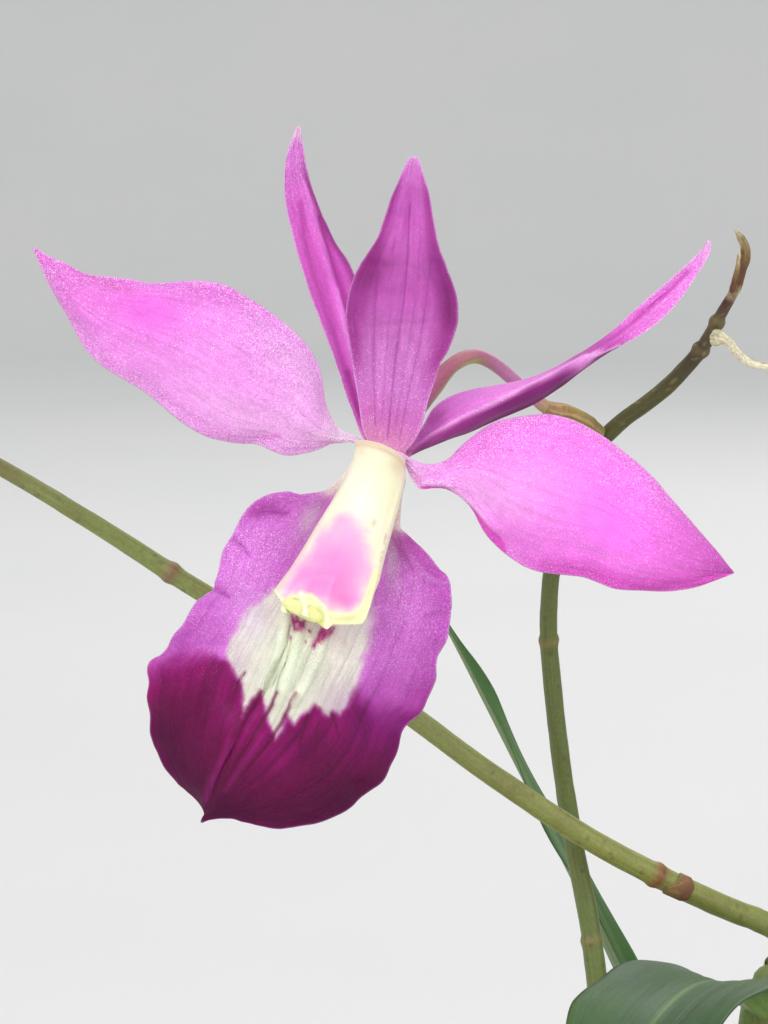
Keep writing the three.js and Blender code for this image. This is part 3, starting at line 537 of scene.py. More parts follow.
MAT = {
    "petal": petal_material("petal_skin"),
    "lip": petal_material("lip_skin", 0.8, 1.1, 0.18),
    "column": painted("column_skin", grain=0.025, scale=1400, bump_mm=0.02, bump_scale=5200, rough=(0.30, 0.42), tint="fbe9d8", tint_amount=0.10, Subsurface_Weight=0.22, Subsurface_Radius=(1.0, 0.7, 0.6), Subsurface_Scale=0.0012),
    "ovary": painted("ovary_skin", grain=0.10, scale=1300, bump_mm=0.03, bump_scale=3000, rough=(0.36, 0.5), streaks=(0.3, 3.2, 1.0), tint="a9506f", tint_amount=0.12, Subsurface_Weight=0.1, Subsurface_Radius=(1, 0.5, 0.5), Subsurface_Scale=0.001),
    "stem": painted("stem_skin", grain=0.13, scale=1100, bump_mm=0.05, bump_scale=2600, rough=(0.38, 0.55), streaks=(0.12, 3.0, 1.0), tint="6b5a2c", tint_amount=0.25, spots=0.35, spot_scale=900, spot_colour="4b3a20"),
    "husk": painted("papery_sheath", grain=0.16, scale=900, bump_mm=0.07, bump_scale=1800, rough=(0.62, 0.82), streaks=(0.08, 3.4, 1.0), tint="8a7148", tint_amount=0.30, spots=0.3, spot_scale=800, spot_colour="5c4426"),
    "dry": painted("withered_tip", grain=0.22, scale=1500, bump_mm=0.08, bump_scale=3200, rough=(0.55, 0.8), streaks=(0.25, 4.0, 1.0), tint="6e5331", tint_amount=0.35),
    "cane": painted("cane_skin", grain=0.12, scale=700, bump_mm=0.08, bump_scale=1400, rough=(0.42, 0.62), streaks=(0.06, 1.7, 1.0), tint="7a6a3c", tint_amount=0.3, spots=0.3, spot_scale=480, spot_colour="4a3c22"),
    "root": painted("velamen", grain=0.10, scale=1100, bump_mm=0.09, bump_scale=2100, rough=(0.78, 0.95), streaks=(0.5, 1.2, 1.0), tint="a39a80", tint_amount=0.4, spots=0.25, spot_scale=650, spot_colour="8b7c5e"),
    "bark": painted("fir_bark", grain=0.26, scale=420, bump_mm=0.45, bump_scale=520, rough=(0.85, 0.98), streaks=(0.22, 1.5, 1.0), tint="3d2517", tint_amount=0.45),
    "bud": petal_material("bud_skin", 0.5, 1.5),
    "leaf": leaf_material(),
    "clay": clay_material(),
}


# ------------------------------------------------------------------ outlines of the open flower
# left and right edges from base to tip, the crease between them, and the depth of each
TEPALS = {
  "left_petal": {
    "left": [[359, 445.5], [350.5, 442.5], [342, 443.6], [331.6, 444.4], [318.9, 449], [303.6, 452], [285.7, 453.3], [273, 450], [257.7, 444.6], [239.8, 444.6], [224.5, 442.3], [206.6, 436.2], [188.8, 425.3], [168.4, 411.2], [148, 397.2], [127.6, 382.7], [107.1, 367.9], [89.3, 351.3], [74, 332.1], [61.2, 311.7], [49.7, 288.8], [39.5, 265.8], [32.4, 248.5]],
    "right": [[361, 438], [352.5, 434.5], [345, 431.5], [338.3, 427.2], [332.5, 417.6], [327.8, 403.6], [325.3, 385.7], [320.2, 367.9], [311.2, 352.6], [298.5, 336], [283.2, 319.9], [265.3, 305.4], [244.9, 294.4], [224.5, 286.2], [204.1, 281.6], [183.7, 279.1], [163.3, 279.1], [142.9, 280.6], [122.4, 281.6], [102, 279.8], [84.2, 274.7], [63.8, 263.3], [48.5, 255.7], [34.5, 246.8]],
    "dL": [[0, 0.9], [0.15, 0.6], [0.4, -0.4], [0.7, -0.2], [1, 1.5]], "dM": [[0, 0.8], [0.2, -1.6], [0.45, -3.2], [0.75, -2.0], [1, 1.5]], "dR": [[0, 0.9], [0.15, 0.8], [0.4, -0.6], [0.7, 0.4], [1, 1.5]], "soft": 0.6,
  },
  "right_petal": {
    "left": [[397.5, 450.5], [405.5, 454.5], [414.8, 460], [427, 463.6], [438.9, 463.4], [452.3, 458.5], [465.7, 444.5], [479.1, 430.8], [492.5, 421.4], [508.6, 416.8], [530, 414.8], [551.4, 415.6], [572.9, 421], [594.3, 430.4], [613, 441], [631.8, 455.8], [647.9, 473.2], [664, 492], [680, 508], [696, 524], [709.5, 540.2], [722.9, 556.3], [733.4, 571.5]],
    "right": [[396.5, 460], [405.2, 466], [412, 478.6], [420.2, 488.6], [433.6, 488.4], [447, 490.7], [460.4, 497.3], [471, 508], [481.8, 524], [492.5, 540.2], [503.2, 553.6], [519.3, 566], [535.4, 572.3], [551.4, 573.9], [567.5, 573.9], [583.6, 575.4], [599.7, 581.7], [615.7, 588.6], [637.2, 592.7], [658.6, 593.2], [680, 590.6], [701.4, 585.8], [722.9, 577.7], [734, 573.4]],
    "dL": [[0, 0.9], [0.15, 1.2], [0.4, -0.2], [0.7, 0.2], [1, 1.8]], "dM": [[0, 0.8], [0.2, -1.2], [0.45, -3.4], [0.75, -2.4], [1, 1.8]], "dR": [[0, 0.9], [0.15, -0.4], [0.3, 1.6], [0.5, 0.2], [0.7, -0.4], [1, 1.8]], "soft": 0.6,
  },
  "dorsal_sepal": {
    "left": [[371, 446], [366.5, 437], [361.5, 424], [358.2, 401], [353.1, 370.4], [349.3, 342.3], [345.5, 316.8], [348, 293.9], [354.4, 276], [364.6, 258.2], [377.3, 237.8], [385, 217.3], [391.4, 196.9], [399, 179], [406.7, 161.2], [411.3, 156]],
    "right": [[399, 459], [406, 451], [415.6, 439.3], [423.3, 421.4], [428.4, 401], [436, 378], [441, 362.8], [447.5, 352.6], [453.9, 337.2], [457.7, 321.9], [457.7, 304], [453.9, 286.2], [446.2, 265.8], [438.6, 242.9], [433.5, 219.9], [429.6, 196.9], [424.5, 179], [419.4, 161.2], [414.7, 156]],
    "dL": [[0, 1.7], [0.25, -0.6], [0.5, -4.6], [0.75, -10.5], [1, -17]], "dM": [[0, 1.2], [0.25, -0.4], [0.5, -3.2], [0.75, -9.4], [1, -17]], "dR": [[0, 1.6], [0.25, -0.8], [0.5, -4.8], [0.75, -10.6], [1, -17]], "soft": 0.7,
  },
  "left_lateral_sepal": {
    "left": [[365, 444], [360, 433], [353.1, 413.8], [344.2, 388.3], [334, 357.7], [323.8, 332], [313.6, 304], [303.4, 273.5], [294.4, 242.9], [288, 217.3], [285, 197], [284.7, 174], [288, 151], [294.4, 132], [297.6, 126.4]],
    "right": [[375, 443], [370.5, 431], [372, 410], [372, 385], [371, 355], [368, 325], [363, 297], [354.4, 273.5], [346.7, 258.2], [336.5, 242.9], [326.8, 222.4], [321.2, 209.7], [312.3, 186.7], [306, 161.2], [302, 138.3], [300.2, 126.4]],
    "mid": [[369, 443], [365, 432], [360, 412], [354, 385], [346, 352], [339, 325], [330, 296], [320.5, 268], [311.5, 242], [303.5, 217], [297, 193], [293.5, 172], [294, 150], [297.5, 134], [299, 126]],
    "dL": [[0, 3.6], [0.25, 3.0], [0.5, 3.4], [0.75, 5.2], [1, 8]], "dM": [[0, 3.9], [0.25, 5.2], [0.5, 6.6], [0.75, 7.4], [1, 8]], "dR": [[0, 3.8], [0.25, 8], [0.5, 10.4], [0.75, 9.6], [1, 8.2]], "soft": 0.25,
  },
  "right_lateral_sepal": {
    "left": [[401, 453], [409, 445], [416.5, 435], [424.4, 423.5], [431.5, 410.5], [440, 402.2], [455, 394.2], [473.8, 388.9], [495.2, 384.8], [522, 379.5], [546, 371.4], [567.5, 360.7], [588.9, 347.3], [610.4, 331.3], [631.8, 312.5], [653.2, 293.8], [672, 277.7], [688, 262.9], [701.4, 249.6], [707.6, 239.4]],
    "right": [[404, 461], [414, 454.5], [428.2, 447.8], [447, 439.8], [468.4, 433], [492.5, 422.3], [513.9, 413], [535.4, 403.6], [556.8, 390.2], [578.2, 374], [599, 359.5], [621, 345.6], [642.5, 334], [664, 317.9], [682.7, 296.4], [693.4, 280.4], [704, 264.3], [710.8, 250.9], [710.6, 240.6]],
    "mid": [[402.5, 457], [413.5, 450], [433.6, 438.6], [455, 425], [481.8, 409.6], [508.6, 397.4], [530, 388.5], [554, 376], [572.9, 366.5], [598, 351.5], [621, 335], [644, 316.5], [664, 299], [683, 281], [697, 264], [709, 240]],
    "dL": [[0, 3.8], [0.25, 8.2], [0.5, 7.6], [0.75, 4.6], [1, 5]], "dM": [[0, 3.6], [0.25, 2.6], [0.5, 3.2], [0.75, 4.9], [1, 5]], "dR": [[0, 3.9], [0.25, 5.2], [0.5, 5.0], [0.75, 3.8], [1, 5]], "soft": 0.2,
  },
  "lip": {
    "left": [[354.5, 452], [351, 461], [344.3, 472.9], [335, 482], [322.9, 490.2], [301.4, 493.8], [285.4, 492], [272, 491.6], [258.6, 498.3], [245.2, 510.4], [237.2, 523.8], [229, 539.8], [221, 558.6], [217, 574.7], [211, 585], [203.7, 590.4], [197, 597], [193, 609.5], [184.9, 622.9], [172.9, 637.6], [159.5, 652.3], [150, 661.7], [148.2, 671], [149.5, 683], [147.4, 697], [148.2, 714], [150, 732.7], [155.5, 748.8], [164.8, 767.5], [178.2, 783.6], [191.6, 795.6], [200.2, 806], [202.3, 814], [200.2, 822]],
    "right": [[405.5, 466], [405.5, 481], [402.5, 495], [401, 510.4], [400.8, 527], [408, 535], [419.3, 545.2], [432.7, 558.6], [440.7, 570.6], [449.5, 580.5], [451.4, 596], [450, 617.5], [446, 641.6], [438, 665.7], [432.7, 684.5], [422, 706], [411.3, 724.7], [400.6, 743.4], [391.2, 764.9], [379, 783.6], [363, 799.7], [344.3, 811.7], [322.9, 821], [301.4, 826.5], [277.3, 828.6], [258.6, 826.5], [242.5, 821.6], [226.4, 818.4], [210.4, 820], [202.4, 823]],
    "mid": [[380, 457], [362, 502], [340, 556], [318, 602], [303, 630], [288, 662], [273, 698], [256, 730], [238, 762], [220, 793], [201.3, 822.6]],
    "dL": [[0, 3.4], [0.1, 0.2], [0.17, -1.4], [0.25, -1.6], [0.4, -2.2], [0.5, -3.2], [0.6, -2.6], [0.75, -1.2], [0.9, -2.2], [1, -3.6]], "dM": [[0, 3.4], [0.15, 1.4], [0.3, -1.6], [0.42, -4.6], [0.5, -6.2], [0.62, -7.0], [0.75, -6.8], [0.9, -5.2], [1, -3.6]], "dR": [[0, 3.4], [0.1, 0.8], [0.18, -0.6], [0.3, 0.8], [0.42, 0.8], [0.52, 0.6], [0.62, -0.2], [0.75, -1.6], [0.9, -2.8], [1, -3.6]], "soft": 0.5,
  },
}
COLUMN = [  # left x, y, right x, y, depth of its middle, half thickness
  [356, 444, 405.5, 460, -0.9, 1.5], [352.5, 460, 405.6, 476, -1.5, 1.6], [344, 480, 402.5, 492, -2.4, 1.6], [331, 502, 397.5, 512, -3.6, 1.6], [316, 526, 391, 536, -4.9, 1.6],
  [303, 548, 385, 558, -6.1, 1.5], [289, 570, 379.5, 581, -7.3, 1.35],
]
COLUMN_END = [(273.5, 590.5), (276.5, 595), (280.5, 600), (282, 604.5), (280.3, 608), (280.5, 611), (284.5, 612.8), (290, 613.5), (297, 614.3), (303, 616), (310, 619), (316, 622), (321, 626), (326.8, 630), (330, 627.4), (333.5, 624.4), (341, 625), (348, 624.6), (356, 624.8), (362.5, 624), (366, 618.5), (368.6, 611), (371, 605), (372.3, 599)]
COLUMN_RIM = [(270, 583), (275, 589), (284, 601), (287.5, 598.5), (291.5, 595.5), (297, 593.6), (303, 592.4), (310, 594.4), (316, 597.4), (323, 604), (328, 611.4), (334, 613.6), (343, 613.4), (352, 612), (360, 607), (366, 595), (374, 570)]


def outline(t):
    L, R = Curve(t["left"], "copy"), Curve(t["right"], "copy")
    M = Curve(t["mid"], "copy") if "mid" in t else None

    def surface(U, S):
        l, r = L(U)[:, None], R(U)[:, None]
        m = M(U)[:, None] if M else (l + r) / 2
        e = t["soft"]
        s = S[None, :]
        sa = (np.sqrt(s * s + e * e) - e) / (math.sqrt(1 + e * e) - e)
        wl, wr = (sa - s) / 2, (sa + s) / 2
        wm = 1 - wl - wr
        p = m * wm[..., None] + l * wl[..., None] + r * wr[..., None]
        d = key(t["dM"], U)[:, None] * wm + key(t["dL"], U)[:, None] * wl + key(t["dR"], U)[:, None] * wr
        return p[..., 0], p[..., 1], d

    return surface


def tepal(name, nu, nv, t0, paint, relief, frost, mat, slot, veins=11, vein_dark=0.10, tone=(1, 1, 1)):
    x, y = np.linspace(0, 1, nu), np.linspace(-1, 1, nv)
    U = 0.55 * x + 0.45 * (1 - np.cos(np.pi * x)) / 2
    S = 0.6 * y + 0.4 * np.sin(np.pi / 2 * y)
    px, py, d = outline(TEPALS[name])(U, S)
    g = at(px, py, d)
    UU, SS = np.meshgrid(U, S, indexing="ij")
    half = np.linalg.norm(np.diff(g, axis=1), axis=-1).sum(1)[:, None] / 2
    mid = g[:, nv // 2]
    along = np.concatenate([[0], np.cumsum(np.linalg.norm(np.diff(mid, axis=0), axis=1))])[:, None]
    along = np.broadcast_to(along, px.shape)
    length = along[-1, 0]
    edge = np.minimum((1 - np.abs(SS)) * half, (1 - UU) * length * 0.6)
    v = np.zeros_like(px)
    for k, sk in enumerate(np.linspace(-0.86, 0.86, veins)):
        w = sk + 0.025 * noise2(UU * 5, np.full_like(UU, k * 3.1), 5)
        v += np.exp(-(((SS - w) * half / 0.085) ** 2)) * (0.6 + 0.4 * noise2(UU * 9, np.full_like(UU, k * 1.7), 6))
    v = np.clip(v, 0, 1) * smooth(0.25, 1.4, half) * smooth(0.0, 0.06, UU) * smooth(1.0, 0.86, UU)
    # relief stands along the sheet's own normal, towards the eye
    n = unit(np.cross(np.gradient(g, axis=0), np.gradient(g, axis=1)))
    n[0], n[-1] = n[1], n[-2]
    if np.sum(n * (EYE - g)) < 0:
        n = -n
    g = g + n * (relief(px, py, UU, SS, along, half) - 0.03 * v)[..., None]
    e = np.clip(edge / 0.42, 0, 1)
    thick = t0 * (1 - 0.35 * SS**2) * (1 - 0.25 * UU) * (0.30 + 0.70 * smooth(0.0, 2.2, edge)) * np.sqrt(1 - (1 - e) ** 2) * np.sqrt(np.clip(along / 0.5, 0, 1))

    def colours(side):
        c = paint(px, py, UU, SS, side, edge) * np.array(tone)
        c = c * (1 - vein_dark * v)[..., None]
        return mix(c, c * 0.35 + C("f6e2f4") * 0.65, 0.75 * np.exp(-((edge / 0.11) ** 2)))

    maxhalf = half.max()
    flow = np.stack([along, SS * maxhalf, np.zeros_like(along)], -1)
    # per-point amount of cell grain and of painted glints over the sheet
    co, faces, attrs = closed_sheet(g, thick, EYE, flow, colours, {"frost": frost(px, py, UU, SS, edge)})
    return make(name, co, faces, mat, slot, [name], **attrs)


def base(px, h):
    return np.broadcast_to(C(h), (*px.shape, 3)).copy()


def by(keys, u):
    """A colour at u from [(u, 'rrggbb'), ...]."""
    ks = [k for k, _ in keys]
    cs = np.array([C(c) for _, c in keys])
    return np.stack([np.interp(u, ks, cs[:, i]) for i in range(3)], -1)


# ---- left petal
def paint_left_petal(px, py, U, S, side, edge):
    c = base(px, "f69bf3")
    c = mix(c, C("f573ea"), 0.95 * blob(px, py, 150, 312, 46, 24, 22))
    c = mix(c, C("f8a6f5"), 0.7 * blob(px, py, 226, 372, 60, 40, 30))
    c = mix(c, C("f079e4"), 0.55 * blob(px, py, 172, 296, 50, 11, 3))
    c = mix(c, C("edb0ec"), 0.8 * blob(px, py, 288, 362, 26, 52, -42))
    c = mix(c, C("f5bff4"), 0.9 * smooth(0.40, 0.12, U))
    c = mix(c, C("f7ecf6"), 0.9 * smooth(0.15, 0.03, U))
    c = mix(c, C("e67ada"), 0.8 * smooth(0.66, 0.93, U))
    c = mix(c, C("ee70de"), 0.35 * blob(px, py, 112, 302, 44, 22, 25))
    c = mix(c, C("fcd2fb"), 0.55 * blob(px, py, 236, 414, 74, 24, 22))
    # painted shade along the upper margin near the tip, where it rolls back
    c = mix(c, C("d064b4"), 0.45 * stroke(px, py, [(70, 266), (86, 276), (106, 286), (130, 290)], 5))
    c = mix(c, C("df76d5"), 0.75 * blob(px, py, 205, 293, 64, 12, 12))
    # painted shade along the crease near the claw
    c = mix(c, C("d970cd"), 0.55 * stroke(px, py, [(246, 444), (260, 439), (278, 436)], 3.5))
    c = mix(c, C("e9a2e6"), 0.5 * smooth(2.4, 0.4, edge) * smooth(-0.2, -0.7, S))
    return c if side > 0 else mix(c, C("e7a5e2"), 0.55)


def relief_left_petal(px, py, U, S, along, half):
    r = -0.28 * np.exp(-((S / 0.10) ** 2)) * smooth(0.95, 0.1, U)
    r += 0.16 * noise2(U * 5 + 3, S * 2.2, 11) + 0.10 * noise2(U * 13, S * 5, 12)
    r += 0.30 * np.abs(S) ** 4 * np.sin(U * 23 + 2 * S) * smooth(0.05, 0.3, U) * smooth(1.0, 0.75, U)
    r += 0.14 * blob(px, py, 262, 446, 22, 8) - 0.10 * stroke(px, py, [(252, 439), (262, 436), (274, 438)], 6)
    r += 0.18 * stroke(px, py, [(66, 262), (90, 273), (112, 281), (135, 284)], 7) * smooth(0.45, 0.9, S)
    return r


# how much cell grain and painted glint the left petal gets, point by point
def grain_and_glint_left_petal(px, py, U, S, edge):
    return np.clip(0.35 + 0.6 * blob(px, py, 276, 340, 60, 34, 48) + 0.45 * smooth(2.6, 0.4, edge) + 0.25 * smooth(0.5, 0.1, U) + 0.35 * blob(px, py, 60, 270, 40, 20) - 0.3 * blob(px, py, 150, 316, 30, 16), 0, 1)


# ---- right petal
def paint_right_petal(px, py, U, S, side, edge):
    c = base(px, "f88ff1")
    c = mix(c, C("fd84fa"), 0.9 * blob(px, py, 612, 512, 62, 34, 35))
    c = mix(c, C("fbb6fa"), 0.9 * blob(px, py, 500, 490, 52, 26, 18))
    c = mix(c, C("fbb0f8"), 0.55 * blob(px, py, 545, 480, 60, 30, 20))
    c = mix(c, C("ec8be2"), 0.7 * smooth(1.6, 0.2, edge) * smooth(0.0, -0.5, S))
    c = mix(c, C("e887df"), 0.65 * blob(px, py, 490, 436, 32, 14, -40))
    c = mix(c, C("f7cdf6"), 0.9 * smooth(0.16, 0.05, U))
    c = mix(c, C("fae6f8"), 0.9 * smooth(0.06, 0.0, U))
    c = mix(c, C("e16dd2"), 0.85 * smooth(0.66, 0.90, U))
    c = mix(c, C("c657b6"), 0.8 * smooth(0.84, 0.98, U))
    c = mix(c, C("a84ca6"), 0.6 * blob(px, py, 727, 573, 12, 9))
    c = mix(c, C("da50c5"), 0.8 * smooth(3.0, 0.4, edge) * smooth(0.0, 0.6, S) * smooth(0.40, 0.56, U))
    # the rolled lower margin near the claw
    c = mix(c, C("ffd6ff"), 0.55 * blob(px, py, 478, 492, 50, 17, 28))
    crest = np.interp(px, [400, 418, 429, 446, 459, 471, 480, 490, 497, 505, 514], [500, 487, 482.5, 483, 493, 501, 508, 518, 529, 543, 600])
    under = smooth(-0.6, 1.6, py - crest) * smooth(514, 503, px) * smooth(408, 424, px) * smooth(0.1, 0.3, S)
    c = mix(c, C("ea58d2"), 0.95 * under)
    c = mix(c, C("d94fc2"), 0.5 * under * smooth(3, 9, py - crest))
    # painted highlight along the crest of the rolled margin
    band, t = to_line(px, py, [(418, 486), (429, 482.5), (446, 483), (459, 493), (471, 501), (480, 508), (490, 518), (498, 531)])
    c = mix(c, C("fee4fd"), 0.75 * np.exp(-(((band - 0.8) / 1.3) ** 2)) * smooth(0.05, 0.25, S) * smooth(500, 480, px))
    return c if side > 0 else mix(c, C("e7a2e2"), 0.55)


def relief_right_petal(px, py, U, S, along, half):
    r = -0.26 * np.exp(-((S / 0.10) ** 2)) * smooth(0.95, 0.1, U)
    r += 0.16 * noise2(U * 5 + 9, S * 2.2, 21) + 0.10 * noise2(U * 13, S * 5, 22)
    r += 0.28 * np.abs(S) ** 4 * np.sin(U * 21 + 1.4 * S) * smooth(0.05, 0.3, U) * smooth(1.0, 0.75, U)
    r += 0.45 * stroke(px, py, [(424, 483), (446, 482), (460, 492), (480, 507), (497, 527)], 4.5)
    return r


# how much cell grain and painted glint the right petal gets, point by point
def grain_and_glint_right_petal(px, py, U, S, edge):
    return np.clip(0.30 + 0.55 * blob(px, py, 500, 436, 60, 24, -8) + 0.5 * smooth(2.2, 0.3, edge) + 0.3 * smooth(0.3, 0.08, U) + 0.3 * blob(px, py, 650, 500, 60, 26, 45) - 0.3 * blob(px, py, 600, 520, 44, 24, 30), 0, 1)


# ---- dorsal sepal, leaning towards the eye
def paint_dorsal(px, py, U, S, side, edge):
    c = by([(0.0, "dca0bf"), (0.06, "d98fc2"), (0.13, "cd74bf"), (0.22, "cc7dc7"), (0.31, "c877c1"), (0.42, "c268b8"), (0.54, "bd5ab3"), (0.66, "c55fba"), (0.78, "cd64c2"), (0.88, "d873ce"), (0.96, "df85d6"), (1.0, "e7a6dd")], U)
    side_dark = smooth(0.48, 0.92, np.abs(S)) * smooth(0.16, 0.36, U) * smooth(0.97, 0.85, U)
    c = mix(c, C("9a3289"), 0.85 * side_dark)
    c = mix(c, C("e37fd8"), 0.6 * blob(px, py, 404, 254, 20, 40, 4))
    c = mix(c, C("812470"), 0.7 * (blob(px, py, 448, 292, 9, 26) + blob(px, py, 450, 318, 8, 16)))
    c = mix(c, C("8c2a7a"), 0.80 * blob(px, py, 369, 268, 15, 24, 30))
    c = mix(c, C("9a3a8e"), 0.55 * blob(px, py, 357, 300, 12, 22))
    c = mix(c, C("96318a"), 0.6 * blob(px, py, 438, 262, 9, 26, -20))
    c = mix(c, C("d98bd3"), 0.6 * (blob(px, py, 385, 352, 7, 26, 4) + blob(px, py, 408, 352, 7, 30, -8)))
    c = mix(c, C("d084cb"), 0.4 * (blob(px, py, 366, 350, 5, 30) + blob(px, py, 424, 345, 6, 30, -12)))
    lines = stroke(px, py, [(409, 206), (408, 253), (404, 300), (395, 362), (388, 440)], 1.5)
    lines = np.maximum(lines, 0.7 * stroke(px, py, [(381, 250), (376, 280), (374, 322), (373, 367), (376, 425)], 1.3))
    lines = np.maximum(lines, 0.7 * stroke(px, py, [(431, 260), (429, 289), (421, 340), (408, 394), (400, 440)], 1.3))
    lines = np.maximum(lines, 0.4 * stroke(px, py, [(394, 236), (391, 290), (387, 350), (381, 425)], 1.2))
    lines = np.maximum(lines, 0.4 * stroke(px, py, [(421, 240), (418, 290), (409, 350), (394, 430)], 1.2))
    c = mix(c, C("9a3c90"), 0.62 * lines * smooth(0.02, 0.1, U))
    # painted shade along two shallow grooves across the sepal
    cross = np.exp(-(((py - 264 - 0.1 * (px - 400)) / 2.2) ** 2)) + np.exp(-(((py - 322 + 0.08 * (px - 400)) / 2.2) ** 2))
    c = c * (1 - 0.06 * cross * smooth(0.9, 0.3, np.abs(S)))[..., None]
    return c if side > 0 else mix(c, C("c56bbb"), 0.4)


def relief_dorsal(px, py, U, S, along, half):
    g = stroke(px, py, [(409, 190), (408, 253), (404, 300), (395, 362), (386, 440)], 5)
    r = -0.22 * g + 0.12 * noise2(U * 6, S * 2.5, 31) + 0.05 * noise2(U * 17, S * 6, 32)
    r -= 0.10 * stroke(px, py, [(381, 250), (375, 322), (374, 422)], 3) + 0.10 * stroke(px, py, [(431, 260), (421, 340), (398, 438)], 3)
    r -= 0.05 * np.exp(-(((py - 264) / 3) ** 2)) + 0.05 * np.exp(-(((py - 322) / 3) ** 2))
    return r


# how much cell grain and painted glint the dorsal sepal gets
def grain_and_glint_dorsal(px, py, U, S, edge):
    return np.clip(0.08 + 0.10 * smooth(0.85, 1.0, U) + 0.12 * smooth(0.9, 0.3, edge) + 0.26 * smooth(0.52, 0.25, U) + 0.12 * stroke(px, py, [(420, 212), (417, 290)], 7), 0, 1)


# ---- left lateral sepal
def paint_left_lateral(px, py, U, S, side, edge):
    c = by([(0.0, "dc8fc6"), (0.08, "cf78c0"), (0.2, "cf63bf"), (0.4, "d05dc0"), (0.6, "d65dc3"), (0.75, "d869c9"), (0.86, "d879cf"), (0.94, "d487d0"), (1.0, "dfe3cb")], U)
    # painted highlight along the raised rib, then painted shade in the two grooves beside it
    c = mix(c, C("e983df"), 0.75 * stroke(px, py, [(300, 150), (303, 185), (308, 212), (317, 241), (327, 271), (336, 301), (343, 331), (350, 362), (355, 385)], 4.2))
    c = mix(c, C("a92f95"), 0.9 * stroke(px, py, [(320, 218), (325, 240), (334, 268), (343, 297), (350, 325), (356, 352)], 3.6))
    c = mix(c, C("bf45aa"), 0.7 * stroke(px, py, [(299, 204), (303, 235), (311, 268), (322, 300), (332, 330), (343, 366), (352, 392), (358, 425)], 3.2))
    c = mix(c, C("a02f8e"), 0.7 * stroke(px, py, [(346, 372), (352, 392), (358, 415)], 2.6))
    c = mix(c, C("842874"), 0.8 * smooth(1.35, 0.15, edge) * smooth(0.2, 0.8, S) * smooth(0.3, 0.6, U) * smooth(0.95, 0.8, U))
    c = mix(c, C("da7fce"), 0.6 * smooth(1.0, 0.2, edge) * smooth(-0.2, -0.8, S))
    c = mix(c, C("e9cfe0"), 0.8 * smooth(0.955, 1.0, U))
    c = mix(c, C("4a1846"), 0.85 * blob(px, py, 339, 297.5, 1.5, 1.2))
    # painted highlight along the lower part of the rib
    c = mix(c, C("f39bec"), 0.6 * stroke(px, py, [(336, 290), (342, 328), (351, 358), (356, 378)], 3.2))
    return c if side > 0 else mix(c, C("c878bd"), 0.45)


def relief_left_lateral(px, py, U, S, along, half):
    r = 0.10 * noise2(U * 6, S * 2.5, 41) + 0.04 * noise2(U * 19, S * 6, 42)
    r -= 0.16 * stroke(px, py, [(320, 218), (334, 268), (350, 325)], 3) + 0.14 * stroke(px, py, [(303, 235), (322, 300), (343, 366)], 3.5)
    r += 0.14 * stroke(px, py, [(303, 185), (317, 241), (336, 301), (350, 362)], 4)
    return r


# how much cell grain and painted glint the left lateral sepal gets
def grain_and_glint_left_lateral(px, py, U, S, edge):
    return np.clip(0.25 + 0.35 * smooth(0.5, 0.9, U) + 0.3 * smooth(0.8, 0.2, edge), 0, 1)


# ---- right lateral sepal, folded along its ridge
RIDGE = [(411, 452), (431, 437.5), (464, 418.5), (493, 404.5), (517, 393.5), (544, 380.5), (571, 366.5), (597, 353.5), (620, 345)]


def paint_right_lateral(px, py, U, S, side, edge):
    c = by([(0.0, "d995c0"), (0.07, "c566bd"), (0.16, "ea80e0"), (0.3, "f28ee9"), (0.42, "ec86e2"), (0.52, "d667cb"), (0.60, "c455b4"), (0.68, "e479d9"), (0.8, "f18be8"), (0.93, "ee97ea"), (0.985, "e6aee2"), (1.0, "e7d3e0")], U)
    # painted shade in the groove towards the tip
    groove = stroke(px, py, [(572, 361), (590, 353), (612, 338), (632, 323), (652, 306), (672, 289), (688, 272)], 2.6)
    c = mix(c, C("c049ae"), 0.75 * groove)
    c = mix(c, C("b0489e"), 0.65 * blob(px, py, 583, 353, 16, 5, -28))
    # below the ridge the underside shows: its own darker colour, deepened with painted shade
    dark = RIDGE + [(621, 348), (599, 362), (578.2, 377), (556.8, 393), (535.4, 407), (513.9, 417), (492.5, 427), (468.4, 438), (447, 445), (428.2, 453), (414, 458)]
    sd = signed(px, py, dark)
    low = by([(0.0, "bd74ab"), (0.10, "a94c9a"), (0.25, "9a378c"), (0.45, "8c2c80"), (0.6, "7a2070"), (0.75, "741c68")], U)
    low = mix(low, C("742366"), 0.7 * smooth(2.0, 0.3, edge))
    c = mix(c, low, smooth(-0.8, 1.4, sd))
    # painted shade just under the ridge, and a painted highlight along it
    d, _ = to_line(px, py, RIDGE)
    c = mix(c, C("8a2c7c"), 0.3 * np.exp(-(((d - 2.4) / 1.3) ** 2)) * (sd > 0) * smooth(0.02, 0.1, U))
    c = mix(c, C("f6c9f2"), 0.85 * np.exp(-((d / 1.15) ** 2)) * smooth(0.02, 0.1, U))
    c = mix(c, C("e6bfd8"), 0.75 * stroke(px, py, [(406, 461), (414, 456), (428, 451), (447, 443), (462, 437)], 2.2))
    c = mix(c, C("b2439f"), 0.6 * blob(px, py, 436, 417, 12, 9, -40))
    c = mix(c, C("eba6e3"), 0.8 * blob(px, py, 582, 364, 15, 6, -33))
    c = mix(c, C("5a164c"), 0.6 * blob(px, py, 558, 385, 10, 4.5, -33))
    c = mix(c, C("b84fa8"), 0.55 * blob(px, py, 480, 416, 18, 5, -25))
    return c if side > 0 else mix(c, C("b964ad"), 0.5)


